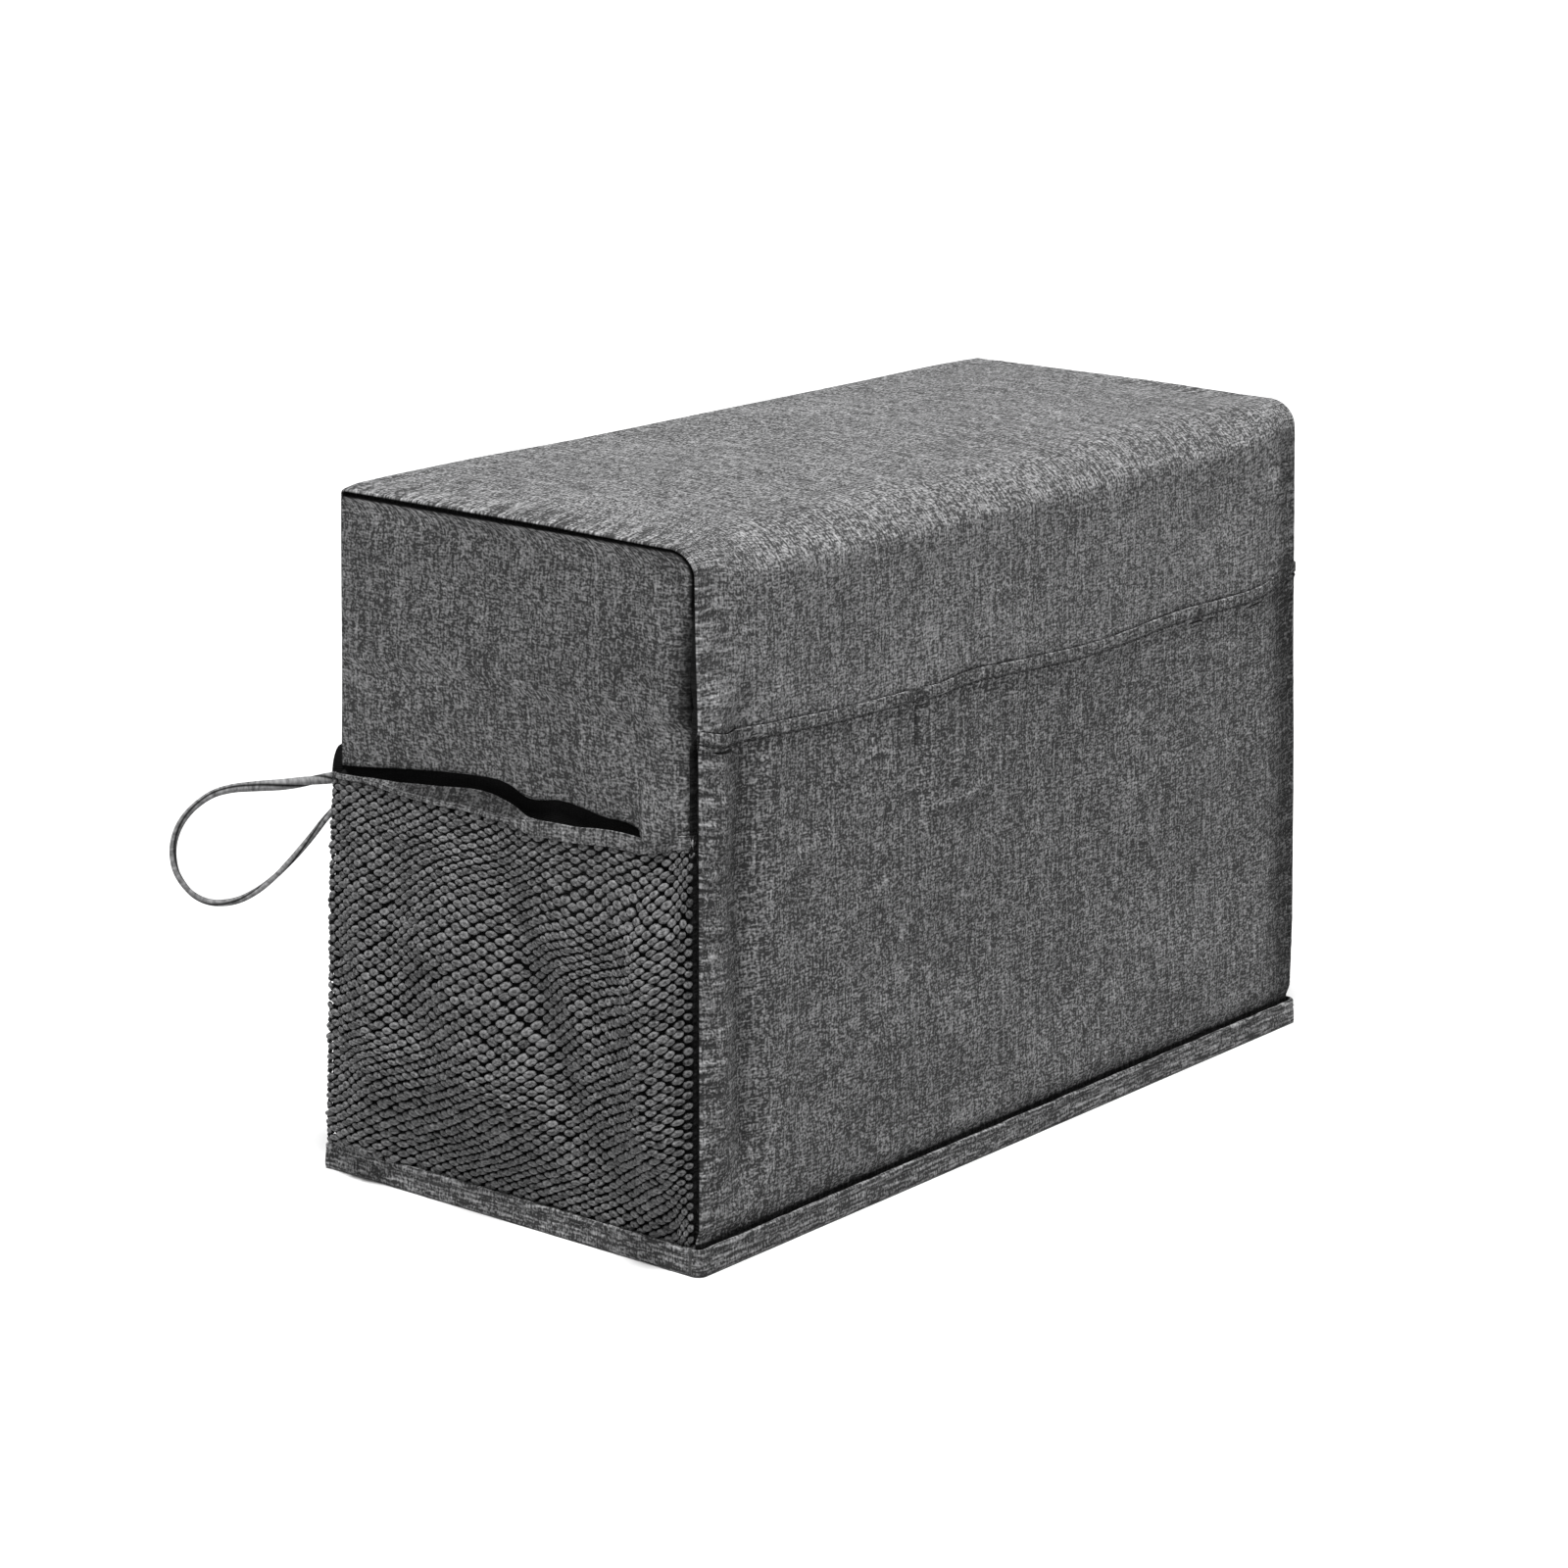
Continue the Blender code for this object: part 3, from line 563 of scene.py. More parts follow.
def stations(fine, middle, extra=()):
    """(x, depth, painted shade) columns from the left end to the right end."""
    edge = edge_columns()
    start, run = EDGE_R, 0.040
    near = start + (run - start) * np.linspace(0, 1, fine) ** 1.35
    inner = np.linspace(-HALF_L + run, HALF_L - run, middle)[1:-1]
    inner = np.array([v for v in inner
                      if not len(extra) or v < min(extra) - 0.0004 or v > max(extra) + 0.0004])
    inner = np.sort(np.concatenate([inner, np.asarray(extra, float)]))
    face = np.concatenate([-HALF_L + near, inner, (HALF_L - near)[::-1]])
    xs = [-HALF_L + c[0] for c in edge] + list(face) + [HALF_L - c[0] for c in edge[::-1]]
    ds = [c[1] for c in edge] + [0.0] * len(face) + [c[1] for c in edge[::-1]]
    painted_shade = [c[2] for c in edge] + [0.0] * len(face) + [c[2] for c in edge[::-1]]
    return np.array(xs), np.array(ds), np.array(painted_shade)


def shifted(x, z):
    """The strip's columns follow the ends' planes near them."""
    left = 1 - np.clip((x + HALF_L) / 0.030, 0, 1)
    right = 1 - np.clip((HALF_L - x) / 0.030, 0, 1)
    return (x + (left_plane(z) - 0.0003 + HALF_L) * left
            + right_swell(z) * right)


def right_swell(z):
    """The right end stands out a little between foot and top."""
    return ((0.0016 + 0.0013 * smooth((0.200 - z) / 0.080))
            * smooth((z - 0.013) / 0.040) * smooth((HEIGHT - z) / 0.050))


def roll_sizes(x):
    share = smooth(end_gap(x) / ROLL_RUN)
    return (SEAM_ROLL_Y + (SOFT_ROLL_Y - SEAM_ROLL_Y) * share,
            SEAM_ROLL_Z + (SOFT_ROLL_Z - SEAM_ROLL_Z) * share)


def roll_shape(count):
    """A roll that turns fast near the front and slowly towards the top."""
    share = np.linspace(0, 1, 400)
    angle = np.radians(46 * smooth(share / 0.10)
                       + 44 * (1 - (1 - share) ** 1.6))
    a = np.concatenate([[0], np.cumsum(np.sin(0.5 * (angle[1:] + angle[:-1])))])
    b = np.concatenate([[0], np.cumsum(np.cos(0.5 * (angle[1:] + angle[:-1])))])
    at = np.linspace(0, 1, count) ** 1.5
    return (np.interp(at, share, a / a[-1])[None, :],
            np.interp(at, share, b / b[-1])[None, :])


def lift(x, z):
    """The strip lies behind the patch pocket."""
    return 0.0044 * smooth((along(POCKET_EDGE, x) + 0.0006 - z) / 0.010)


def painted_foot_shade(z):
    """Painted shade in the crease above the lower binding."""
    return 0.80 * (1 - smooth((z - 0.0119) / 0.0012))


def top_relief(x, y):
    near = end_gap(x)
    inside = smooth(near / 0.015)
    soft = (0.0010 * noise(x, y, 0.085, 0.050, 21)
            + 0.0005 * noise(x, y, 0.030, 0.028, 22)
            + 0.0002 * noise(x, y, 0.012, 0.013, 24))
    pull = np.exp(-near / 0.012) * smooth(near / 0.0025)
    return soft * inside + 0.00045 * noise(x, y, 0.026, 0.0042, 23) * pull


def seam_pull(near, reach=0.014):
    return np.exp(-np.maximum(near, 0) / reach)


# ------------------------------------------------------ front, top, back strip
def build_strip():
    xs, ds, painted_shade = stations(28, 190)
    low = np.linspace(0.004, 0.205, 24)
    high = np.linspace(0.0, 1.0, 58)
    turn = np.radians(np.linspace(0, 90, 34))
    over = np.linspace(0, 1, 112)
    back_turn = np.radians(np.linspace(0, 90, 9))
    down = np.linspace(0, 1, 62)
    x = xs[:, None]
    roll_y, roll_z = roll_sizes(x)
    z_roll = HEIGHT - roll_z
    soft_share = smooth(end_gap(x) / ROLL_RUN)
    roll_a, roll_b = roll_shape(len(turn))
    over_y = (1 - np.cos(turn)) * (1 - soft_share) + roll_a * soft_share
    over_z = np.sin(turn) * (1 - soft_share) + roll_b * soft_share
    z_low = np.broadcast_to(low, (len(xs), len(low)))
    z_high = 0.205 + (z_roll - 0.205) * high[None, 1:]
    z = np.concatenate([z_low, z_high], axis=1)
    hidden = smooth((along(POCKET_EDGE, x) - 0.0030 - z) / 0.0060)
    plain = foot(z) - fold_sum(FRONT_FOLDS, x, z)
    y = (-HALF_D + skin(x, z) * (1 - hidden) + plain * hidden + lift(x, z))
    start = (skin(x, z_roll) + lift(x, z_roll))
    zt = z_roll + roll_z * over_z[:, 1:]
    yt = -HALF_D + start * (1 - over_y[:, 1:]) ** 2 + roll_y * over_y[:, 1:]
    y_on = -HALF_D + roll_y
    y_off = HALF_D - BACK_ROLL
    crown = along(CROWN, x)
    yo = y_on + (y_off - y_on) * over[None, 1:]
    zo = HEIGHT + crown * smooth(over[None, 1:] / 0.45)
    yb = y_off + BACK_ROLL * np.sin(back_turn)[None, 1:] + 0 * x
    zb = HEIGHT + crown - BACK_ROLL * (1 - np.cos(back_turn)[None, 1:])
    top_back = HEIGHT + crown - BACK_ROLL
    zd = top_back + (0.004 - top_back) * down[None, 1:]
    yd = HALF_D - foot(zd)
    # Soft relief: on the top from above, on the back from behind.
    rise = top_relief(x, yo)
    fade = smooth((yo - y_on) / 0.020) * smooth((y_off - yo) / 0.010)
    zo = zo + rise * fade
    soft_back = (0.0013 * noise(x, zd, 0.080, 0.065, 31)
                 + 0.0006 * noise(x, zd, 0.034, 0.040, 32)
                 + 0.0003 * noise(x, zd, 0.013, 0.016, 33))
    near_end = end_gap(x)
    ripple_back = (0.0004 * noise(x, zd, 0.022, 0.0042, 34)
                   * np.exp(-near_end / 0.010) * smooth(near_end / 0.0025))
    yd = (yd + soft_back * smooth(near_end / 0.020) * smooth((zd - 0.013) / 0.03)
          + ripple_back)
    ys = np.concatenate([y, yt, yo, yb, yd], axis=1)
    zs = np.concatenate([z, zt, zo, zb, zd], axis=1)
    # Depth at the end seams runs along the section's own normal.
    sy, sz = np.gradient(ys, axis=1), np.gradient(zs, axis=1)
    size = np.sqrt(sy * sy + sz * sz)
    ny, nz = sz / size, -sy / size
    depth = ds[:, None]
    py, pz = ys + ny * depth, zs + nz * depth
    # On the back the left seam lies round the corner.
    behind = np.zeros(ys.shape[1])
    first_down = ys.shape[1] - (len(down) - 1)
    behind[first_down:] = 1.0
    wrap = (BACK_WRAP * behind[None, :] * smooth((HEIGHT - 0.004 - pz) / 0.014)
            * (1 - np.clip((x + HALF_L) / 0.030, 0, 1)))
    px = shifted(x + 0 * zs, zs) + wrap
    grid = lean(px, py, pz)
    run = np.concatenate([[0], np.cumsum(size.mean(0)[1:])])
    cloth = np.stack([x + 0 * zs, run[None, :] + 0 * x, 0 * zs], axis=-1)
    near = near_end + 0 * zs
    pull = seam_pull(near * np.where(x < 0, 0.62, 1.0)) * np.where(x < 0, 1.5, 1.0)
    in_front = np.zeros(ys.shape[1])
    in_front[:y.shape[1]] = 1.0
    # Painted shade on the strip along the pocket's edge.
    painted_shade_at_pocket_edge = ((1 - smooth((zs - along(POCKET_EDGE, x) - 0.0001) / 0.0012))
             * in_front[None, :] * (0.25 + 0.35 * smooth((near_end - 0.012) / 0.030)))
    # Painted black on the strip's seam edge where it lies behind the pocket.
    painted_black_behind_pocket = ((zs < along(POCKET_EDGE, x) - 0.0015) & (near_end + 0 * zs < 0.006)
                     & (in_front[None, :] > 0))
    # Painted shade towards the front's right end.
    painted_extra_shade = 0.50 * smooth((x - 0.188) / 0.024) * in_front[None, :] + 0 * zs
    # Painted shade in a pinch below the roll at the right.
    painted_pinch_shade = (0.62 * np.exp(-((x - 0.2060 - 0.17 * (zs - 0.2700)) / 0.0020) ** 2
                           - ((zs - 0.2700) / 0.0120) ** 2) * in_front[None, :])
    # Painted shade: the upright faces are made a little darker than the top.
    painted_side_shade = 0.17 * smooth((0.2925 - zs) / 0.0200)
    painted_extra_shade = np.maximum(np.maximum(painted_extra_shade, painted_pinch_shade), painted_side_shade)
    # All the painted shade goes to the edge attribute's third part.
    dark = np.maximum(np.maximum(painted_shade[:, None] + 0 * zs, painted_shade_at_pocket_edge),
                      np.maximum(painted_foot_shade(zs), painted_extra_shade))
    dark = np.maximum(dark, 1.0 * painted_black_behind_pocket)
    edge = np.stack([0.5 * np.exp(-np.abs(zs - 0.012) / 0.006), pull, dark], axis=-1)
    piece = grid_mesh("strip", grid, CLOTH_TOP, cloth, edge)
    n = normals(grid)
    if n[len(xs) // 2, 150, 2] < 0:
        piece.data.flip_normals()
    return piece


# ---------------------------------------------------------------- patch pocket
HEM_LINE = 0.0052        # stitch line below the pocket's edge
DIVIDER = (-0.0728, -0.0756)


def divider_x(z):
    """The dividing seam leans a little."""
    share = np.clip((0.218 - z) / 0.200, 0, 1)
    return DIVIDER[0] + (DIVIDER[1] - DIVIDER[0]) * share


def pocket_skin(x, z, top):
    below = top - z
    base = skin(x, z)
    hem = (0.00085 * smooth((below + 0.0003) / 0.0005)
           * (1 - smooth((below - 0.0056) / 0.0020)))
    line = 0.00080 * np.exp(-((below - HEM_LINE) / 0.00060) ** 2)
    gape = (np.maximum(0.0003 + 0.0008 * noise(x, 0 * x, 0.045, 1.0, 41), 0)
            * (1 - smooth(below / 0.014)))
    upper = smooth((z - 0.150) / 0.050)
    seam = smooth((z - 0.018) / 0.02)
    depth = 0.00015 + 0.00115 * upper
    from_line = x - divider_x(z)
    groove = depth * np.exp(-(from_line / 0.00065) ** 2) * seam
    wide = (0.0004 + 0.0008 * upper) * np.exp(-(from_line / 0.0060) ** 2) * seam
    near_line = np.exp(-((below - HEM_LINE) / 0.005) ** 2)
    crimp = 0.00030 * noise(x, z, 0.0036, 0.014, 42) * near_line
    side_crimp = (0.00025 * noise(x, z, 0.014, 0.0036, 43) * upper
                  * np.exp(-(from_line / 0.006) ** 2))
    return (base - hem + line - gape * smooth(end_gap(x) / 0.02) + groove + wide
            - crimp - side_crimp)


def build_pocket():
    fine = DIVIDER[0] - 0.0014 + np.linspace(-0.0060, 0.0060, 34)
    xs, ds, painted_shade = stations(26, 236, fine)
    x = xs[:, None]
    top = along(POCKET_EDGE, x)
    body = np.linspace(0, 1, 160) ** 0.93
    near = np.array([0.0125, 0.0112, 0.0100, 0.0090, 0.0081, 0.0073, 0.0066,
                     0.0060, 0.0055, 0.0051, 0.0047, 0.0042, 0.0036, 0.0030,
                     0.0023, 0.0016, 0.0010, 0.0006, 0.0003])
    z_body = 0.004 + (top - 0.0140 - 0.004) * body[None, :]
    z_near = top - near[None, :]
    z = np.concatenate([z_body, z_near], axis=1)
    y = -HALF_D + pocket_skin(x, z, top)
    # The folded edge: over the top and down behind.
    edge_y = y[:, -1:]
    over = np.radians([35, 65, 90, 115, 145, 180])[None, :]
    r = 0.00070
    z_over = top - 0.0003 + 0.0005 * np.sin(over)
    y_over = edge_y + r * (1 - np.cos(over))
    z_back = top - np.array([0.0015, 0.004, 0.008])[None, :]
    y_back = y_over[:, -1:] + 0 * z_back
    ys = np.concatenate([y, y_over, y_back], axis=1)
    zs = np.concatenate([z, z_over, z_back], axis=1)
    px = shifted(x + 0 * zs, zs)
    py = ys + ds[:, None]
    grid = lean(px, py, zs)
    z_run = np.concatenate([[0], np.cumsum(np.sqrt(
        np.gradient(ys, axis=1) ** 2 + np.gradient(zs, axis=1) ** 2).mean(0)[1:])])
    cloth = np.stack([x + 0 * zs + 0.017, z_run[None, :] + 0 * x + 0.9, 0 * zs], axis=-1)
    below = np.maximum(top - zs, 0)
    pull_u = (0.8 * np.exp(-((below - 0.005) / 0.007) ** 2)
              + 0.5 * np.exp(-np.abs(zs - 0.012) / 0.006))
    pull_v = (seam_pull(end_gap(x) * np.where(x < 0, 0.62, 1.0) + 0 * zs)
              * np.where(x < 0, 1.6, 1.0)
              + 0.7 * np.exp(-np.abs(x - divider_x(zs)) / 0.007) * smooth((zs - 0.12) / 0.06))
    # Painted shade in the groove of the hem's stitch line.
    line = 0.55 * np.exp(-((below - HEM_LINE) / 0.00055) ** 2)
    # Painted shade in the divider's groove.
    painted_divider_shade = (0.85 * smooth((zs - 0.165) / 0.030)
           * np.exp(-((x - divider_x(zs)) / 0.00055) ** 2) * (below > 0.0008))
    # Painted shade on the hem turned down behind the pocket's edge.
    back = np.zeros(zs.shape[1])
    back[z.shape[1] + 3:] = 0.9
    # Painted shade towards the right end and in the fold beside the left seam.
    painted_extra_shade = 0.60 * smooth((x - 0.186) / 0.024) + 0 * zs
    painted_valley_shade = (0.44 * np.exp(-((x + 0.1870) / 0.0085) ** 2)
              * smooth((0.236 - zs) / 0.020) * smooth((zs - 0.020) / 0.030))
    painted_extra_shade = np.maximum(painted_extra_shade, painted_valley_shade)
    dark = np.maximum.reduce([painted_shade[:, None] + 0 * zs, line, painted_divider_shade, painted_extra_shade,
                              painted_foot_shade(zs), back[None, :] + 0 * zs])
    edge = np.stack([pull_u, pull_v, dark], axis=-1)
    piece = grid_mesh("patch_pocket", grid, CLOTH_POCKET_SHADED, cloth, edge)
    n = normals(grid)
    if n[len(xs) // 2, 50, 1] > 0:
        piece.data.flip_normals()
    return piece


# ------------------------------------------------------------------ end panels
def panel_outline(side, z):
    """Front and back limits of an end panel at a height."""
    open_front = (GAP_FRONT + 0.0004 * noise(z, 0 * z, 0.012, 1.0, 47)
                  if side < 0 else GAP_TOP)
    open_front = open_front * (0.6 + 0.4 * smooth((HEIGHT - 0.010 - z) / 0.030))
    x_end = side * HALF_L
    low = np.minimum(z, HEIGHT - SEAM_ROLL_Z)
    if side < 0:
        open_front = (open_front + 0.0004 * smooth((0.290 - z) / 0.020)
                      + 0.0026 * smooth((0.268 - z) / 0.024)
                      - 0.0038 * smooth((0.230 - z) / 0.006)
                      + 0.0005 * noise(z, 0 * z, 0.005, 1.0, 48))
    front = skin(x_end + 0 * z, low) + CREASE_DEPTH + open_front
    above = z > HEIGHT - SEAM_ROLL_Z
    top = HEIGHT - CREASE_DEPTH - GAP_TOP
    up = np.clip((z - (HEIGHT - SEAM_ROLL_Z)) / (top - (HEIGHT - SEAM_ROLL_Z)), 0, 1)
    front = front + (SEAM_ROLL_Y - front) * np.where(above, 1 - np.sqrt(1 - up * up), 0)
    if side < 0:
        back = foot(z) - 0.0010
        return -HALF_D + front, HALF_D - back, top
    back = foot(z) + CREASE_DEPTH + GAP_TOP
    high = np.clip((z - (HEIGHT - BACK_ROLL)) / (top - (HEIGHT - BACK_ROLL)), 0, 1)
    back = back + (BACK_ROLL - back) * (1 - np.sqrt(1 - high * high))
    return -HALF_D + front, HALF_D - back, top


def end_relief(side, y, z):
    seed = 51 if side < 0 else 61
    soft = (0.0010 * noise(y, z, 0.060, 0.050, seed)
            + 0.0006 * noise(y, z, 0.026, 0.030, seed + 1)
            + 0.00025 * noise(y, z, 0.011, 0.013, seed + 2))
    inside = smooth((HALF_D - np.abs(y)) / 0.014) * smooth((HEIGHT - z) / 0.014)
    out = soft * inside
    near_top = HEIGHT - z
    out = out + (0.00022 * noise(y + 0.4 * z, z, 0.0046, 0.016, seed + 3)
                 * np.exp(-near_top / 0.007) * smooth(near_top / 0.004))
    if side < 0:
        out = out + fold_sum(END_FOLDS, y, z)
        # Sewn over the net between the mouth's end and the corner.
        low = along(PANEL_EDGE, y)
        meet = left_plane(z) - net_x(y, low) + 0.0020
        share = ((1 - smooth((y + 0.0712) / 0.0080))
                 * (1 - smooth((z - low) / 0.030))
                 * (0.15 + 0.85 * smooth((y + HALF_D) / 0.010)))
        out = out + meet * share
        near = y + HALF_D
        out = out + (0.00035 * noise(y, z, 0.020, 0.0042, seed + 4)
                     * np.exp(-near / 0.008) * smooth(near / 0.005))
    return out


def build_end(name, side, low_edge, hem, mat):
    """An end panel: edges turn into the seams, a hem folds to the inside."""
    count = 150
    shares = np.linspace(0, 1, count)
    shares = shares - 0.55 * np.sin(2 * math.pi * shares) / (2 * math.pi)
    a = shares[:, None]
    z_top = HEIGHT - CREASE_DEPTH - GAP_TOP
    bend = HEIGHT - SEAM_ROLL_Z
    y_guess = -HALF_D + a * DEPTH
    low = low_edge(y_guess)
    n_body = 96 if side < 0 else 170
    body = np.linspace(0, 1, n_body)[None, :]
    z_body = low + (bend - low) * body
    up = np.sin(np.radians(np.linspace(0, 90, 16)))[None, 1:]
    z_up = bend + (z_top - bend) * up + 0 * a
    z = np.concatenate([z_body, z_up], axis=1)
    front, back, _ = panel_outline(side, z)
    turn_r = 0.0024
    run = BACK_WRAP * smooth((HEIGHT - 0.004 - z) / 0.014) if side < 0 else 0 * z
    last = back - turn_r if side < 0 else back
    y = front + (last - front) * a
    plane = left_plane(z) if side < 0 else HALF_L + right_swell(z)
    d = np.minimum(y - front, z_top - z)
    if side > 0:
        d = np.minimum(d, back - y)
    r = 0.0011
    inward = np.where(d < r, r - np.sqrt(np.maximum(r * r - (r - d) ** 2, 0)), 0)
    if side > 0:
        inward = inward + foot(z)
    x = plane + side * (end_relief(side, y, z) - inward)
    out_x = np.full_like(x, float(side))
    out_y = np.zeros_like(x)
    if side < 0:
        # Round the back corner, then a short way along the back.
        base_x, base_y = x[-1:], y[-1:]
        add = []
        for ang in (15, 30, 45, 60, 75, 90):
            c, q = math.cos(math.radians(ang)), math.sin(math.radians(ang))
            add.append((base_x + turn_r * (1 - c), base_y + turn_r * q,
                        np.full_like(base_x, -c), np.full_like(base_x, q)))
        for k in (0.34, 0.67, 1.0):
            add.append((base_x + turn_r + (run[-1:] - turn_r + 0.0004) * k
                        * (run[-1:] > turn_r), base_y + turn_r - 0.0004 * k * k,
                        np.zeros_like(base_x), np.ones_like(base_x)))
        x = np.concatenate([x] + [v[0] for v in add])
        y = np.concatenate([y] + [v[1] for v in add])
        out_x = np.concatenate([out_x] + [v[2] for v in add])
        out_y = np.concatenate([out_y] + [v[3] for v in add])
        z = np.concatenate([z] + [z[-1:]] * len(add))
    deep = np.array([0.0008, 0.0016, 0.0022])[None, :]
    xs = np.concatenate([x, x[:, -1:] - out_x[:, -1:] * deep], axis=1)
    ys = np.concatenate([y, y[:, -1:] - out_y[:, -1:] * deep], axis=1)
    zs = np.concatenate([z, np.repeat(z[:, -1:], 3, 1)], axis=1)
    ox = np.concatenate([out_x, np.repeat(out_x[:, -1:], 3, 1)], axis=1)
    oy = np.concatenate([out_y, np.repeat(out_y[:, -1:], 3, 1)], axis=1)
    hem_cols = 0
    if hem:
        # The lower edge is folded to the inside.
        r_h = 0.0008
        ix, iy = -ox[:, :1], -oy[:, :1]
        back_in = np.array([0.0022, 0.0019, 0.0017])[None, :]
        back_up = np.array([0.010, 0.006, 0.003])[None, :]
        ang = np.radians([0, 30, 60, 90, 120, 150])[None, :]
        go = np.concatenate([back_in + 0 * ix, r_h * (1 + np.cos(ang)) + 0 * ix], axis=1)
        rise = np.concatenate([back_up + 0 * ix, -0.8 * r_h * np.sin(ang) + 0 * ix], axis=1)
        hem_cols = go.shape[1]
        fold_x = xs[:, :1] + ix * go
        fold_y = ys[:, :1] + iy * go
        fold_z = zs[:, :1] + rise
        xs = np.concatenate([fold_x, xs], axis=1)
        ys = np.concatenate([fold_y, ys], axis=1)
        zs = np.concatenate([fold_z, zs], axis=1)
        ox = np.concatenate([np.repeat(ox[:, :1], hem_cols, 1), ox], axis=1)
        oy = np.concatenate([np.repeat(oy[:, :1], hem_cols, 1), oy], axis=1)
    # Rows marked 1 here are tucked into the seams and painted in full shade.
    rows = np.zeros_like(xs)
    rows[:, -3:] = 1.0
    pad = lambda block, head, tail: np.concatenate(
        [np.repeat(block[:1], head, 0), block, np.repeat(block[-1:], tail, 0)])
    deep = np.array([0.0008, 0.0016, 0.0022])
    first = [(xs[:1] - side * dv, ys[:1], zs[:1]) for dv in deep[::-1]]
    last = [(xs[-1:] - ox[-1:] * dv, ys[-1:] - oy[-1:] * dv, zs[-1:]) for dv in deep]
    xs = np.concatenate([f[0] for f in first] + [xs] + [f[0] for f in last])
    ys = np.concatenate([f[1] for f in first] + [ys] + [f[1] for f in last])
    zs = np.concatenate([f[2] for f in first] + [zs] + [f[2] for f in last])
    rows = pad(rows, 3, 3)
    rows[:3] = 1.0
    rows[-3:] = 1.0
    grid = lean(xs, ys, zs)
    step = np.sqrt(np.gradient(xs, axis=0) ** 2 + np.gradient(ys, axis=0) ** 2)
    across = np.cumsum(step, axis=0)
    to_front = across - across[3:4]
    to_back = across[-4:-3] - across
    near_side = np.minimum(to_front, to_back)
    near = np.minimum(near_side, z_top - zs)
    pull_v = seam_pull(near_side, 0.009)
    pull_u = 0.5 * seam_pull(z_top - zs, 0.007)
    # Painted shade: dark into the seams and, on the left, in a strip beside the front seam.
    painted_shade = np.clip(1 - near / 0.0011, 0, 1) * 0.95
    if side < 0:
        painted_shade = np.maximum(painted_shade, 0.80 * np.exp(-(to_front / 0.0068) ** 2)
                           * smooth((0.284 - zs) / 0.02))
    painted_shade = np.maximum(painted_shade, rows)
    if side > 0:
        painted_shade = np.maximum(painted_shade, painted_foot_shade(zs))
    cloth = np.stack([across + 2.0 * (1.5 + side), zs + 0.4, 0 * zs], axis=-1)
    if hem:
        low_here = zs[:, hem_cols:hem_cols + 1]
        near_hem = np.exp(-np.abs(zs - low_here - 0.004) / 0.006)
        pull_u = pull_u + 0.5 * near_hem
        # Painted shade on the hem's fold inside the panel.
        painted_shade[:, :hem_cols - 4] = 0.9
    edge = np.stack([pull_u, pull_v, painted_shade], axis=-1)
    piece = grid_mesh(name, grid, mat, cloth, edge)
    n = normals(grid)[60:90, 30:60].reshape(-1, 3).mean(0)
    if n[0] * side < 0:
        piece.data.flip_normals()
    return piece


# ------------------------------------------------------------------ net pocket
NET_FRONT = -HALF_D + 0.0034
NET_BACK = HALF_D - 0.0004
NET_BULGE = 0.0090


def net_out(y, z):
    top = along(RIM_EDGE, y)
    up = np.clip((z - 0.0125) / (top - 0.0125), 0, 1.1)
    rise = smooth((z - 0.0125) / 0.050)
    corner = smooth((y - 0.045) / 0.035)
    rise = rise + (smooth((z - 0.0088) / 0.0050) - rise) * corner
    high = smooth((up - 0.58) / 0.38)
    full = NET_BULGE * rise * (1 - 0.25 * smooth((up - 0.6) / 0.4))
    steep = 0.0125 - 0.0040 * (1 - high)
    front_edge = smooth((y - NET_FRONT + 0.0005) / steep)
    back_edge = 0.50 + 0.50 * smooth((HALF_D - y) / 0.030)
    folds = np.zeros(np.broadcast(y, z).shape)
    for y_top, y_foot, half, out, out_top in NET_FOLDS:
        centre = y_foot + (y_top - y_foot) * up
        size = out + (out_top - out) * high
        folds += size * np.exp(-((y - centre) / half) ** 2)
    folds += 0.0010 * noise(y + 0.5 * z, z, 0.022, 0.030, 71) * (1 - 0.6 * high)
    folds += 0.0004 * noise(y - 0.5 * z, z, 0.010, 0.012, 72)
    side = smooth((HALF_D - y) / 0.012)
    flush = 1 - 0.95 * smooth((-0.052 - y) / 0.020) * smooth((up - 0.70) / 0.28)
    return (full * back_edge + folds * rise * side) * front_edge * flush


def net_x(y, z):
    """The net's plane near the front corner, in the upright box."""
    p = (y - NET_FRONT) / (NET_BACK - NET_FRONT)
    sink = (0.0010 * (1 - smooth(p / 0.020))
            + 0.0022 * (1 - smooth(p / 0.040)) * smooth((z - 0.172) / 0.006))
    return -HALF_L - net_out(y, z) + sink


CORNER_R = 0.0040
CORNER_OUT = 0.0022


def net_place(p, z):
    """Point of the net at share p across it and height z, upright box."""
    rise = smooth((z - 0.0088) / 0.0050)
    out_y = CORNER_OUT * rise
    straight = 0.945
    y_turn = HALF_D + out_y - CORNER_R
    q = np.clip(p / straight, -0.1, 1.0)
    y = NET_FRONT + (y_turn - NET_FRONT) * q
    out = net_out(y, z)
    x = net_x(y, z) + 0.0010 * (1 - rise)
    # Round the back left corner to the seam behind it.
    k = np.clip((p - straight) / (1 - straight), 0, 1.05)
    ang = k * math.pi / 2
    x = x + CORNER_R * (1 - np.cos(ang)) + k * np.maximum(out - 0.0028, 0) * 0.7
    y = y + (CORNER_R - 0.6 * out_y * k) * np.sin(ang)
    return lean(x, y, z)


COLUMNS = 56             # upright columns of knots in the net
LOOP_PITCH = 0.0046      # from knot to knot up a column
# Knot rings: share of the knot's size, height and painted shade.
KNOT_RINGS = ((0.50, 0.00076, 0.00), (0.80, 0.00048, 0.10),
              (1.03, -0.00032, 0.58))


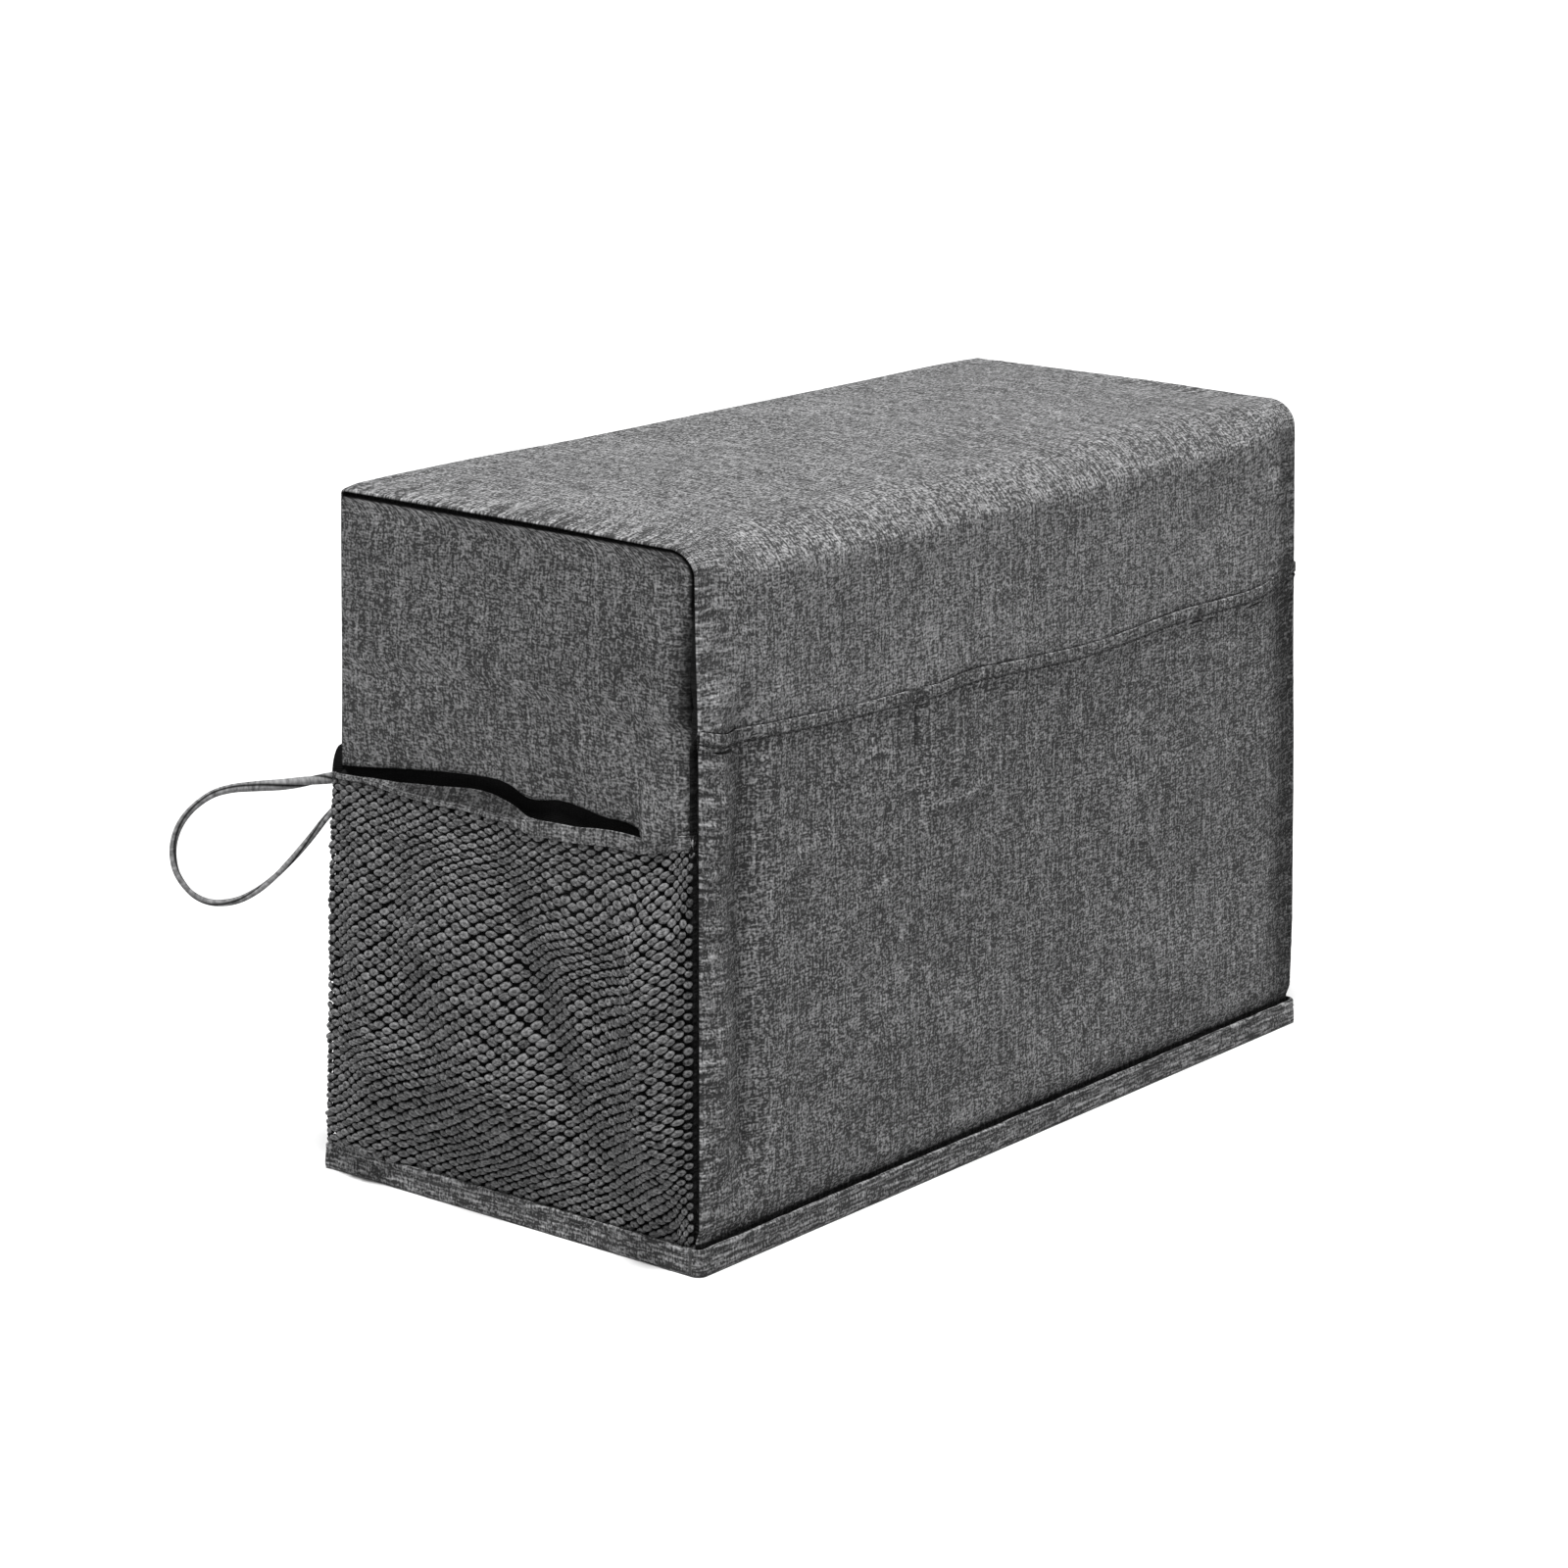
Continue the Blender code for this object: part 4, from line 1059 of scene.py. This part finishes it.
def net_columns():
    """Shares across the net that are evenly spaced along the cloth."""
    q = np.linspace(0, 1, 500)
    mid = 0.5 * (net_place(q, np.full(500, 0.060)) + net_place(q, np.full(500, 0.110)))
    run = np.concatenate([[0], np.cumsum(np.linalg.norm(np.diff(mid, axis=0), axis=1))])
    at = (np.arange(-1, COLUMNS + 1) + 0.5) / COLUMNS * run[-1]
    share = np.interp(at, run, q)
    share[0] = 2 * share[1] - share[2]
    share[-1] = 2 * share[-2] - share[-3]
    return share


def build_net():
    """Knitted net: rows of knots, every second column offset by half."""
    share = net_columns()
    z_foot, z_head = 0.0095, 0.1800
    rows = int((z_head - z_foot) / LOOP_PITCH) + 1
    i, k = np.meshgrid(np.arange(COLUMNS), np.arange(rows), indexing="ij")
    i, k = i.ravel(), k.ravel()
    z = z_foot + (k + 0.5 * (i % 2)) * LOOP_PITCH
    keep = z < z_head
    i, z = i[keep], z[keep]
    rng = np.random.default_rng(7)

    def place(col, height):
        p = np.interp(col, np.arange(-1, COLUMNS + 1), share)
        top = along(RIM_EDGE, NET_FRONT + (NET_BACK - NET_FRONT) * p)
        part = (height - z_foot) / (z_head - z_foot)
        free = smooth((height - 0.012) / 0.03) * smooth((0.176 - height) / 0.03)
        lift_by = (0.0030 * noise(p * 0.19, height, 0.036, 0.030, 82)
                   + 0.0060 * noise(p * 0.19, height, 0.070, 0.080, 83))
        shift = 0.0018 * noise(p * 0.19, height, 0.030, 0.030, 81)
        h = z_foot + (top - 0.0032 - z_foot) * part + lift_by * free
        return net_place(p + shift * free * smooth(p / 0.08) / 0.19, h)

    c = place(i + 0.05 * rng.normal(size=len(i)),
              z + 0.00018 * rng.normal(size=len(i)))
    half, quarter = LOOP_PITCH / 2, LOOP_PITCH / 4
    one_way = place(i + 0.5, z + quarter) - place(i - 0.5, z - quarter)
    other = place(i + 0.5, z - quarter) - place(i - 0.5, z + quarter)
    n = np.cross(one_way, other)
    n /= np.linalg.norm(n, axis=1, keepdims=True)
    if n[len(n) // 2, 0] > 0:
        n = -n
    around = 10
    theta = np.arange(around) / around * 2 * math.pi
    power = 2.25
    reach = 0.5 / (np.abs(np.cos(theta)) ** power
                   + np.abs(np.sin(theta)) ** power) ** (1 / power)
    ds, dt = reach * np.cos(theta), reach * np.sin(theta)
    fill_a = (0.99 + 0.05 * rng.normal(size=len(i)))[:, None]
    fill_b = (1.03 + 0.05 * rng.normal(size=len(i)))[:, None]
    tilt_a = (0.00030 * rng.normal(size=len(i)))[:, None]
    tilt_b = (0.00030 * rng.normal(size=len(i)) + 0.00022)[:, None]
    tall = (1 + 0.16 * rng.normal(size=len(i)))[:, None]
    layers, painted_shades, radii = [], [], []
    for radius, height, dark in KNOT_RINGS:
        a = ds[None, :] * radius * fill_a
        b = dt[None, :] * radius * fill_b
        wobble = 1 + 0.10 * rng.normal(size=(len(i), around)) * (radius < 0.9)
        h = height * (tall if height > 0 else 1.0) * wobble + tilt_a * 2 * a + tilt_b * 2 * b
        layers.append(c[:, None, :] + one_way[:, None, :] * a[..., None]
                      + other[:, None, :] * b[..., None]
                      + n[:, None, :] * (h - 0.0004)[..., None])
        painted_shades.append(np.full((len(i), around), dark))
        radii.append(radius)
    p_at = np.interp(i, np.arange(-1, COLUMNS + 1), share)
    # Painted shade on the knots where the net dives into the front seam.
    painted_dive_shade = 0.34 * np.exp(-(p_at / 0.016) ** 2)
    painted_shades = [np.maximum(v, 0) + (1 - v) * painted_dive_shade[:, None] for v in painted_shades]
    middle = c + n * (0.00026 * tall - 0.0004)
    below = c - n * 0.00110
    points = np.concatenate(layers + [middle[:, None], below[:, None]], axis=1)
    # Painted shade: the knot's middle darker, the point under it black.
    painted_shade = np.concatenate(painted_shades + [0.62 + 0.38 * painted_dive_shade[:, None],
                                     np.full((len(i), 1), 1.0)], axis=1)
    each = len(KNOT_RINGS) * around + 2
    faces = []
    for ring in range(len(KNOT_RINGS) - 1):
        for q in range(around):
            w = (q + 1) % around
            faces.append((ring * around + q, (ring + 1) * around + q,
                          (ring + 1) * around + w, ring * around + w))
    deep = (len(KNOT_RINGS) - 1) * around
    for q in range(0, around, 2):
        w, e = (q + 1) % around, (q + 2) % around
        faces.append((each - 2, q, w, e))
        faces.append((each - 1, deep + e, deep + w, deep + q))
    one = np.array(faces)
    quads = (one[None] + (np.arange(len(i)) * each)[:, None, None]).reshape(-1, 4)
    cloth = np.zeros(points.shape)
    angle = np.concatenate([np.tile(theta, len(KNOT_RINGS)), [0.0, 0.0]])
    size = np.concatenate([np.repeat(radii, around), [0.0, 0.0]])
    cloth[..., 0] = ((size * np.cos(angle))[None] * 0.0036
                     + (i * 0.011 + z * 3.0)[:, None])
    cloth[..., 1] = (size * np.sin(angle))[None] * 0.84
    cloth[..., 2] = rng.uniform(0, 40, len(i))[:, None]
    edge = np.zeros(points.shape)
    edge[..., 2] = painted_shade
    obj = raw_mesh("net_pocket_net", points, quads, NET_YARN, cloth, edge)
    first = obj.data.polygons[0]
    if Vector(n[0]).dot(first.normal) < 0:
        obj.data.flip_normals()
    return obj


# ------------------------------------------------------------------ pocket rim
def build_rim():
    p = np.linspace(0.004, 1.0, 340)
    y = NET_FRONT + (NET_BACK - NET_FRONT) * p
    top = along(RIM_EDGE, y)
    wave = 0.0004 * noise(y, 0 * y, 0.014, 1.0, 91)
    top = top + wave
    outer_h = (0.0018 + 0.0047 * smooth((-0.004 - y) / 0.022)
               - 0.0012 * smooth((-0.066 - y) / 0.008))
    inner_h = along(RIM_BACK, y)
    rows = []
    heights = []
    for k in range(9):                       # outer face, upward
        s = k / 8
        h = -outer_h * (1 - s)
        o = 0.0007 + 0.0002 * math.sin(math.pi * s)
        rows.append((o + 0 * y, h - 0.0003))
    for a in (30, 60, 90, 120, 150):         # over the edge
        a = math.radians(a)
        rows.append((0.0003 + 0.0007 * math.cos(a) + 0 * y,
                     -0.0003 + 0.0004 * math.sin(a) + 0 * y))
    for k in range(10):                      # inner half
        s = (k + 1) / 10
        rows.append((-0.0004 - 0.0024 * s * smooth(inner_h / 0.004),
                     -0.0003 + inner_h * s))
    for k in range(4):                       # and down behind it
        s = (k + 1) / 4
        rows.append((-0.0011 - 0.0024 * smooth(inner_h / 0.004) - 0.0003 * s,
                     (inner_h - 0.0002) - (inner_h + 0.0060) * s))
    columns = []
    for offset, h in rows:
        base = net_place(p, np.minimum(top + np.minimum(h, 0), 0.19))
        ahead = net_place(np.minimum(p + 0.004, 1.0), top)
        behind = net_place(np.maximum(p - 0.004, 0.0), top)
        t = ahead - behind
        out = np.stack([-t[:, 1], t[:, 0], 0 * t[:, 0]], axis=-1)
        out /= np.linalg.norm(out, axis=1, keepdims=True)
        if out[170, 0] > 0:
            out = -out
        point = base + out * offset[:, None]
        point[:, 2] = top + h
        columns.append(point)
    grid = np.stack(columns, axis=1)
    total = np.cumsum(np.linalg.norm(np.gradient(grid, axis=1), axis=2), axis=1)
    cloth = np.stack([y[:, None] + 0 * total, total + 5.3, 0 * total], axis=-1)
    # Painted shade on the binding's inner half and the part behind it.
    turned = smooth(inner_h / 0.0035)[:, None]
    part = np.array([0.0] * 9 + [0.25, 0.45, 0.55, 0.6, 0.6] + [0.62] * 10 + [0.85] * 4)
    dark = part[None, :] * turned + 0.25 * (1 - turned) * (part[None, :] > 0.7)
    edge = np.stack([0.9 + 0 * total, 0 * total, dark], axis=-1)
    piece = grid_mesh("pocket_binding", grid, CLOTH_RIM, cloth, edge)
    n = normals(grid)[170, 3]
    if n[0] > 0:
        piece.data.flip_normals()
    return piece


# --------------------------------------------------------------- pocket lining
def corner_side(z, count, grow):
    """Inner side of the net round the back left corner."""
    p = np.linspace(0.935, 1.0, count)[:, None] + 0 * z
    height = np.minimum(z, 0.1770) + 0 * p
    skin_at = net_place(p, height)
    du = net_place(p + 0.004, height) - net_place(p - 0.004, height)
    out = np.stack([-du[..., 1], du[..., 0], 0 * p], axis=-1)
    out /= np.linalg.norm(out, axis=2, keepdims=True)
    if out[0, 0, 0] > 0:
        out = -out
    inner = skin_at - out * 0.0019
    home = lean(left_plane(z) + 0.0016 + 0 * p, HALF_D - 0.0016 + 0 * p, height)
    point = home + (inner - home) * grow
    point[..., 2] = z + 0 * p
    return point


def build_lining():
    y_share = np.linspace(0, 1, 90)[:, None]
    z = np.linspace(0.003, 0.204, 90)[None, :] + 0 * y_share
    front, back, _ = panel_outline(-1, z)
    y = front - 0.0006 + (back - 0.0042 - front + 0.0006) * y_share
    x = left_plane(z) + 0.0034 + 0.0005 * noise(y, z, 0.04, 0.05, 95)
    flat = lean(x, y, z)
    level = z[:1]
    grow = (smooth((level - 0.010) / 0.010)
            * (1 - smooth((level - 0.1770) / 0.0030)))[..., None]
    side = corner_side(level, 14, grow)
    grid = np.concatenate([flat, side])
    cloth = np.stack([grid[..., 1] - grid[..., 0], grid[..., 2],
                      0 * grid[..., 2]], axis=-1)
    piece = grid_mesh("lining", grid, DARK, cloth, cloth * 0)
    if normals(grid)[40, 40, 0] > 0:
        piece.data.flip_normals()
    return piece


def build_tab():
    """Black flap on the back left corner, from the panel to the net's side."""
    z = np.linspace(0.1640, 0.1902, 40)[None, :]
    out = np.linspace(0, 1, 12)[:, None]
    rise = np.clip((z - 0.1775) / (0.1902 - 0.1775), 0, 1)
    grow = np.sqrt(np.maximum(1 - rise ** 1.9, 0))
    reach = 0.0043 * (0.10 + 0.90 * grow) * (1 - 0.45 * smooth((0.1770 - z) / 0.004))
    root = 0.0022
    x = left_plane(z) + root - (reach + root) * 0.86 * out
    y = (HALF_D - root + 0.0006) + (reach + root) * 0.50 * out
    grid = lean(x, y, z + 0 * out)
    cloth = np.stack([grid[..., 0] + grid[..., 1], grid[..., 2],
                      0 * grid[..., 2]], axis=-1)
    return grid_mesh("mouth_flap", grid, DARK, cloth, cloth * 0)


# --------------------------------------------------------------- lower binding
def band_ring(offset, z, count_long=260, count_short=120, count_turn=14):
    """Points round the foot at an offset out from the panels."""
    centre = BAND_RADIUS - BAND_PROUD
    reach = max(offset + centre, 0.0003)
    extra = min(offset + centre - 0.0003, 0.0)
    cx, cy = HALF_L - centre, HALF_D - centre
    points = []
    corners = ((-cx, -cy, 180), (cx, -cy, 270), (cx, cy, 0), (-cx, cy, 90))
    counts = (count_long, count_short, count_long, count_short)
    for n, (px, py, start) in enumerate(corners):
        sx, sy = (1 if px > 0 else -1), (1 if py > 0 else -1)
        bx, by = px + sx * extra, py + sy * extra
        for k in range(count_turn):
            a = math.radians(start + 90 * k / (count_turn - 1))
            points.append((bx + reach * math.cos(a), by + reach * math.sin(a)))
            if n == 3:          # the back left corner is a little fuller
                full = math.sin(math.pi * k / (count_turn - 1)) ** 2
                lx, ly = points[-1]
                points[-1] = (lx - 0.0013 * full, ly + 0.0011 * full)
        qx, qy, qs = corners[(n + 1) % 4]
        tx, ty = (1 if qx > 0 else -1), (1 if qy > 0 else -1)
        ex, ey = qx + tx * extra, qy + ty * extra
        a0, a1 = math.radians(start + 90), math.radians(qs)
        ax, ay = bx + reach * math.cos(a0), by + reach * math.sin(a0)
        ex, ey = ex + reach * math.cos(a1), ey + reach * math.sin(a1)
        for k in range(1, counts[n]):
            s = k / counts[n]
            points.append((ax + (ex - ax) * s, ay + (ey - ay) * s))
    pts = np.array(points)
    return pts


def build_band():
    profile = []
    for z in (0.0050, 0.0085):
        profile.append((-0.0012, z))
    profile.append((-0.0002, 0.0098))
    for a in (160, 130, 100, 70, 40, 10):
        a = math.radians(a)
        profile.append((0.0013 + 0.0010 * math.cos(a), 0.0104 + 0.0011 * math.sin(a)))
    for z in (0.0094, 0.0086, 0.0080, 0.0074, 0.0064, 0.0050, 0.0036, 0.0022):
        dip = 0.00030 * math.exp(-((z - 0.0080) / 0.0006) ** 2)
        profile.append((0.0024 - dip + 0.0001 * math.sin(z * 520), z))
    for a in (0, 30, 60, 90):
        a = math.radians(a)
        profile.append((0.0014 + 0.0010 * math.cos(a), 0.0010 - 0.0010 * math.sin(a)))
    profile += [(-0.0005, 0.0), (-0.0030, 0.0), (-0.0048, 0.0004),
                (-0.0052, 0.0015), (-0.0052, 0.0060), (-0.0050, 0.0090),
                (-0.0040, 0.0096)]
    columns = []
    for offset, z in profile:
        pts = band_ring(offset, z)
        x, y = pts[:, 0], pts[:, 1]
        out = 0.00022 * noise(x + 3 * y, 0 * x + z, 0.0090, 0.006, 101)
        grow = 1 + out / 0.1 * (offset > 0) * (z > 0.0015)
        columns.append(lean(x * grow, y * grow, np.full(len(x), z)))
    grid = np.stack(columns, axis=0)
    run = np.concatenate([[0], np.cumsum(np.linalg.norm(
        np.diff(grid[8], axis=0), axis=1))])
    across = np.concatenate([[0], np.cumsum(np.linalg.norm(
        np.diff(grid[:, 100], axis=0), axis=1))])
    cloth = np.stack([np.broadcast_to(across[:, None], grid.shape[:2]),
                      np.broadcast_to(run[None, :] * 1.0, grid.shape[:2]),
                      np.zeros(grid.shape[:2])], axis=-1)
    # Painted shade on the band's inner side and the inner half of its top, in the crease above
    # it.
    painted_shade = np.zeros(len(profile))
    painted_shade[:4] = 1.0
    painted_shade[4] = 0.7
    painted_shade[5] = 0.3
    edge = np.stack([0 * cloth[..., 0] + 0.25, 0 * cloth[..., 0],
                     np.broadcast_to(painted_shade[:, None], grid.shape[:2])], axis=-1)
    piece = grid_mesh("hem_band", grid, CLOTH_BAND, cloth, edge, wrap_cols=True)
    n = normals(grid)[12, 100]
    if n[1] > 0:
        piece.data.flip_normals()
    return piece


# ------------------------------------------------------------------ cord loop
def catmull(points, per_span):
    pts = [np.array(p) for p in points]
    pts = [2 * pts[0] - pts[1]] + pts + [2 * pts[-1] - pts[-2]]
    out = []
    for i in range(1, len(pts) - 2):
        a, b, c, d = pts[i - 1], pts[i], pts[i + 1], pts[i + 2]
        for step in range(per_span):
            t = step / per_span
            out.append(0.5 * ((2 * b) + (c - a) * t
                              + (2 * a - 5 * b + 4 * c - d) * t * t
                              + (3 * b - a - 3 * c + d) * t ** 3))
    out.append(pts[-2])
    return np.array(out)


def build_loop():
    root_z = 0.168
    base = lean(np.array(left_plane(np.array(root_z)) + 0.0020),
                np.array(HALF_D), np.array(root_z))
    start = LOOP_ROUTE[0][0]
    points = []
    for out, z in LOOP_ROUTE:
        points.append((base[0] + LOOP_OUT[0] * (out - start),
                       base[1] + CORD_DIAMETER / 2 + 0.0008
                       + LOOP_OUT[1] * (out - start), z))
    route = catmull(points, 8)
    step = np.linalg.norm(np.diff(route, axis=0), axis=1)
    run = np.concatenate([[0], np.cumsum(step)])
    share = run / run[-1]
    radius = CORD_DIAMETER / 2 * (1.62 - 0.56 * smooth((share - 0.12) / 0.22)
                                  - 0.06 * smooth((share - 0.5) / 0.3))
    twist = 2 * math.pi * (run / 0.085 + 1.6 * np.exp(-run / 0.030))
    side_dir = np.broadcast_to(np.array([0.774, 0.633, 0.0]), route[None].shape)
    sides = 20
    path = route[None]
    tangent = np.gradient(path, axis=1)
    tangent /= np.linalg.norm(tangent, axis=2, keepdims=True)
    b = np.cross(tangent, side_dir)
    b /= np.linalg.norm(b, axis=2, keepdims=True)
    c = np.cross(b, tangent)
    rings = []
    for s in range(sides):
        a = 2 * math.pi * s / sides
        lobe = 0.66 + 0.38 * np.abs(np.cos(a - twist)) ** 0.7
        rings.append(path + (b * math.cos(a) + c * math.sin(a))
                     * (radius * lobe)[None, :, None])
    pts = np.stack(rings, axis=2)[0]
    n = len(route)
    quads = grid_quads(n, sides, wrap_cols=True)
    caps = [pts[0].mean(0), pts[-1].mean(0)]
    allpts = np.concatenate([pts.reshape(-1, 3), np.array(caps)])
    cap_quads = []
    for s in range(0, sides, 2):
        a, b2, c2 = s, (s + 1) % sides, (s + 2) % sides
        cap_quads.append((n * sides, c2, b2, a))
        off = (n - 1) * sides
        cap_quads.append((n * sides + 1, off + a, off + b2, off + c2))
    quads = np.concatenate([quads, np.array(cap_quads)])
    cloth = np.zeros((n, sides, 3))
    cloth[..., 0] = run[:, None]
    cloth[..., 1] = 20.0 + (np.arange(sides) / sides)[None, :] - (twist / (2 * math.pi))[:, None]
    cloth = np.concatenate([cloth.reshape(-1, 3), np.zeros((2, 3))])
    piece = raw_mesh("cord_loop", allpts, quads, CORD, cloth)
    return piece, route, float(run[-1])


# -------------------------------------------------------------------- stitches
def stitches(name, line, out_dir, long=0.0023, pitch=0.0032, radius=0.00024):
    """Short rounded stitches along a line of points."""
    step = np.linalg.norm(np.diff(line, axis=0), axis=1)
    run = np.concatenate([[0], np.cumsum(step)])
    count = int(run[-1] / pitch)
    starts = (np.arange(count) + 0.2) * pitch
    shape_t = np.array([0.0, 0.15, 0.5, 0.85, 1.0])
    shape_h = np.array([-0.9, 0.25, 0.6, 0.25, -0.9]) * radius
    shape_r = np.array([0.45, 0.95, 1.0, 0.95, 0.45])
    sides = 5
    where = starts[:, None] + shape_t[None, :] * long
    path = np.stack([np.interp(where, run, line[:, k]) for k in range(3)], axis=-1)
    up = np.stack([np.interp(where, run, out_dir[:, k]) for k in range(3)], axis=-1)
    up /= np.linalg.norm(up, axis=2, keepdims=True)
    path = path + up * shape_h[None, :, None]
    tangent = np.gradient(path, axis=1)
    tangent /= np.linalg.norm(tangent, axis=2, keepdims=True)
    b = np.cross(tangent, up)
    b /= np.linalg.norm(b, axis=2, keepdims=True)
    c = np.cross(b, tangent)
    rings = [path + (b * math.cos(2 * math.pi * s / sides)
                     + c * math.sin(2 * math.pi * s / sides))
             * (radius * shape_r)[None, :, None] for s in range(sides)]
    pts = np.stack(rings, axis=2)
    n = len(shape_t)
    one = grid_quads(n, sides, wrap_cols=True)
    quads = np.concatenate([one + i * n * sides for i in range(count)])
    cloth = np.zeros((count, n, sides, 3))
    cloth[..., 0] = where[:, :, None]
    cloth[..., 1] = (np.arange(sides) / sides)[None, None, :]
    return raw_mesh(name, pts, quads, THREAD, cloth)


def build_stitches():
    made = []
    # Along the pocket's folded edge.
    x = np.linspace(-HALF_L + 0.0035, HALF_L - 0.0035, 420)
    top = along(POCKET_EDGE, x)
    z = top - HEM_LINE
    y = -HALF_D + pocket_skin(x, z, top)
    line = lean(shifted(x, z), y - 0.00005, z)
    out = np.broadcast_to(np.array([0.0, -1.0, 0.0]), line.shape)
    made.append(stitches("pocket_stitches", line, out))
    # Down the divider.
    z = np.linspace(0.016, 0.2165, 200)[::-1]
    x = divider_x(z)
    top = along(POCKET_EDGE, x)
    y = -HALF_D + pocket_skin(x, z, top)
    line = lean(x, y - 0.00005, z)
    out = np.broadcast_to(np.array([0.0, -1.0, 0.0]), line.shape)
    made.append(stitches("divider_stitches", line, out))
    # Round the lower binding.
    pts = band_ring(0.00205, 0.0080)
    pts = np.concatenate([pts, pts[:1]])
    line = lean(pts[:, 0], pts[:, 1], np.full(len(pts), 0.0080))
    tangent = np.gradient(line, axis=0)
    out = np.stack([tangent[:, 1], -tangent[:, 0], 0 * tangent[:, 0]], axis=-1)
    if out[100, 1] > 0:
        out = -out
    made.append(stitches("band_stitches", line, out, pitch=0.0034))
    return made


# --------------------------------------------------------------------- build
strip = build_strip()
pocket = build_pocket()
end_left = build_end("left_panel", -1,
                     lambda y: along(PANEL_EDGE, y) + 0.0007, True, CLOTH_END_SHADED)
end_right = build_end("right_panel", 1, lambda y: 0.004 + 0 * y, False, CLOTH_END_SHADED)
lining = build_lining()
net = build_net()
rim = build_rim()
flap = build_tab()
band = build_band()
loop, loop_route, loop_length = build_loop()
sewn = build_stitches()

for piece, nodes, slot in (
        (strip, ("wrap",), "melange_cloth"),
        (pocket, ("front_pocket",), "melange_cloth"),
        (end_left, ("end_left",), "melange_cloth"),
        (end_right, ("end_right",), "melange_cloth"),
        (lining, ("pocket_back",), "black_lining"),
        (net, ("net_pocket",), "net"),
        (rim, ("pocket_rim",), "binding"),
        (flap, ("mouth_tab",), "black_lining"),
        (band, ("hem_binding",), "binding"),
        (loop, ("pull_loop",), "cord")):
    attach(piece, "root")
    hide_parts(*nodes)
for piece in sewn:
    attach(piece, "root")


# ---------------------------------------------------------------------- stage
def make_floor():
    t = Tree("floor_paint")
    geo = t.tree.nodes.new("ShaderNodeNewGeometry")
    x, y, _ = t.parts(geo.outputs["Position"])
    grain = t.noise(t.mul(x, 40.0), t.mul(y, 40.0), 3.0)
    tone = t.span(grain, 0.0, 1.0, 0.55, 0.57)
    t.put(t.shader.inputs["Base Color"], t.grey(tone, (1.0, 1.0, 1.0)))
    t.shader.inputs["Roughness"].default_value = 0.9
    t.shader.inputs["Specular IOR Level"].default_value = 0.1
    size = 6.0
    points = [(-size, -size, -0.0002), (size, -size, -0.0002),
              (size, size, -0.0002), (-size, size, -0.0002)]
    floor = raw_mesh("floor", points, [(0, 1, 2, 3)], t.mat, flat=True)


def sun(name, toward, strength, angle):
    data = bpy.data.lights.new(name, "SUN")
    data.energy = strength
    data.angle = math.radians(angle)
    lamp = bpy.data.objects.new(name, data)
    lamp.rotation_euler = Vector(toward).to_track_quat("Z", "Y").to_euler()
    scene.collection.objects.link(lamp)


def make_light():
    world = bpy.data.worlds.new("studio")
    world.use_nodes = True
    bg = world.node_tree.nodes["Background"]
    nodes, links = world.node_tree.nodes, world.node_tree.links
    place = nodes.new("ShaderNodeTexCoord")
    dot = nodes.new("ShaderNodeVectorMath")
    dot.operation = "DOT_PRODUCT"
    dot.inputs[1].default_value = (-0.10, 0.10, 0.95)
    links.new(place.outputs["Generated"], dot.inputs[0])
    level = nodes.new("ShaderNodeMapRange")
    level.interpolation_type = "SMOOTHSTEP"
    for key, value in (("From Min", -0.75), ("From Max", 0.35),
                       ("To Min", 0.10), ("To Max", 0.26)):
        level.inputs[key].default_value = value
    links.new(dot.outputs["Value"], level.inputs["Value"])
    links.new(level.outputs["Result"], bg.inputs["Strength"])
    bg.inputs["Color"].default_value = (1.0, 1.0, 1.0, 1.0)
    scene.world = world
    sun("key", (-0.175, -0.135, 1.0), 6.60, 15.0)
    sun("front", (-0.60, -0.66, 0.34), 0.50, 20.0)
    sun("left", (-0.74, 0.52, 0.34), 0.30, 20.0)


make_floor()
make_light()
scene.view_settings.view_transform = "Standard"
scene.view_settings.look = "None"
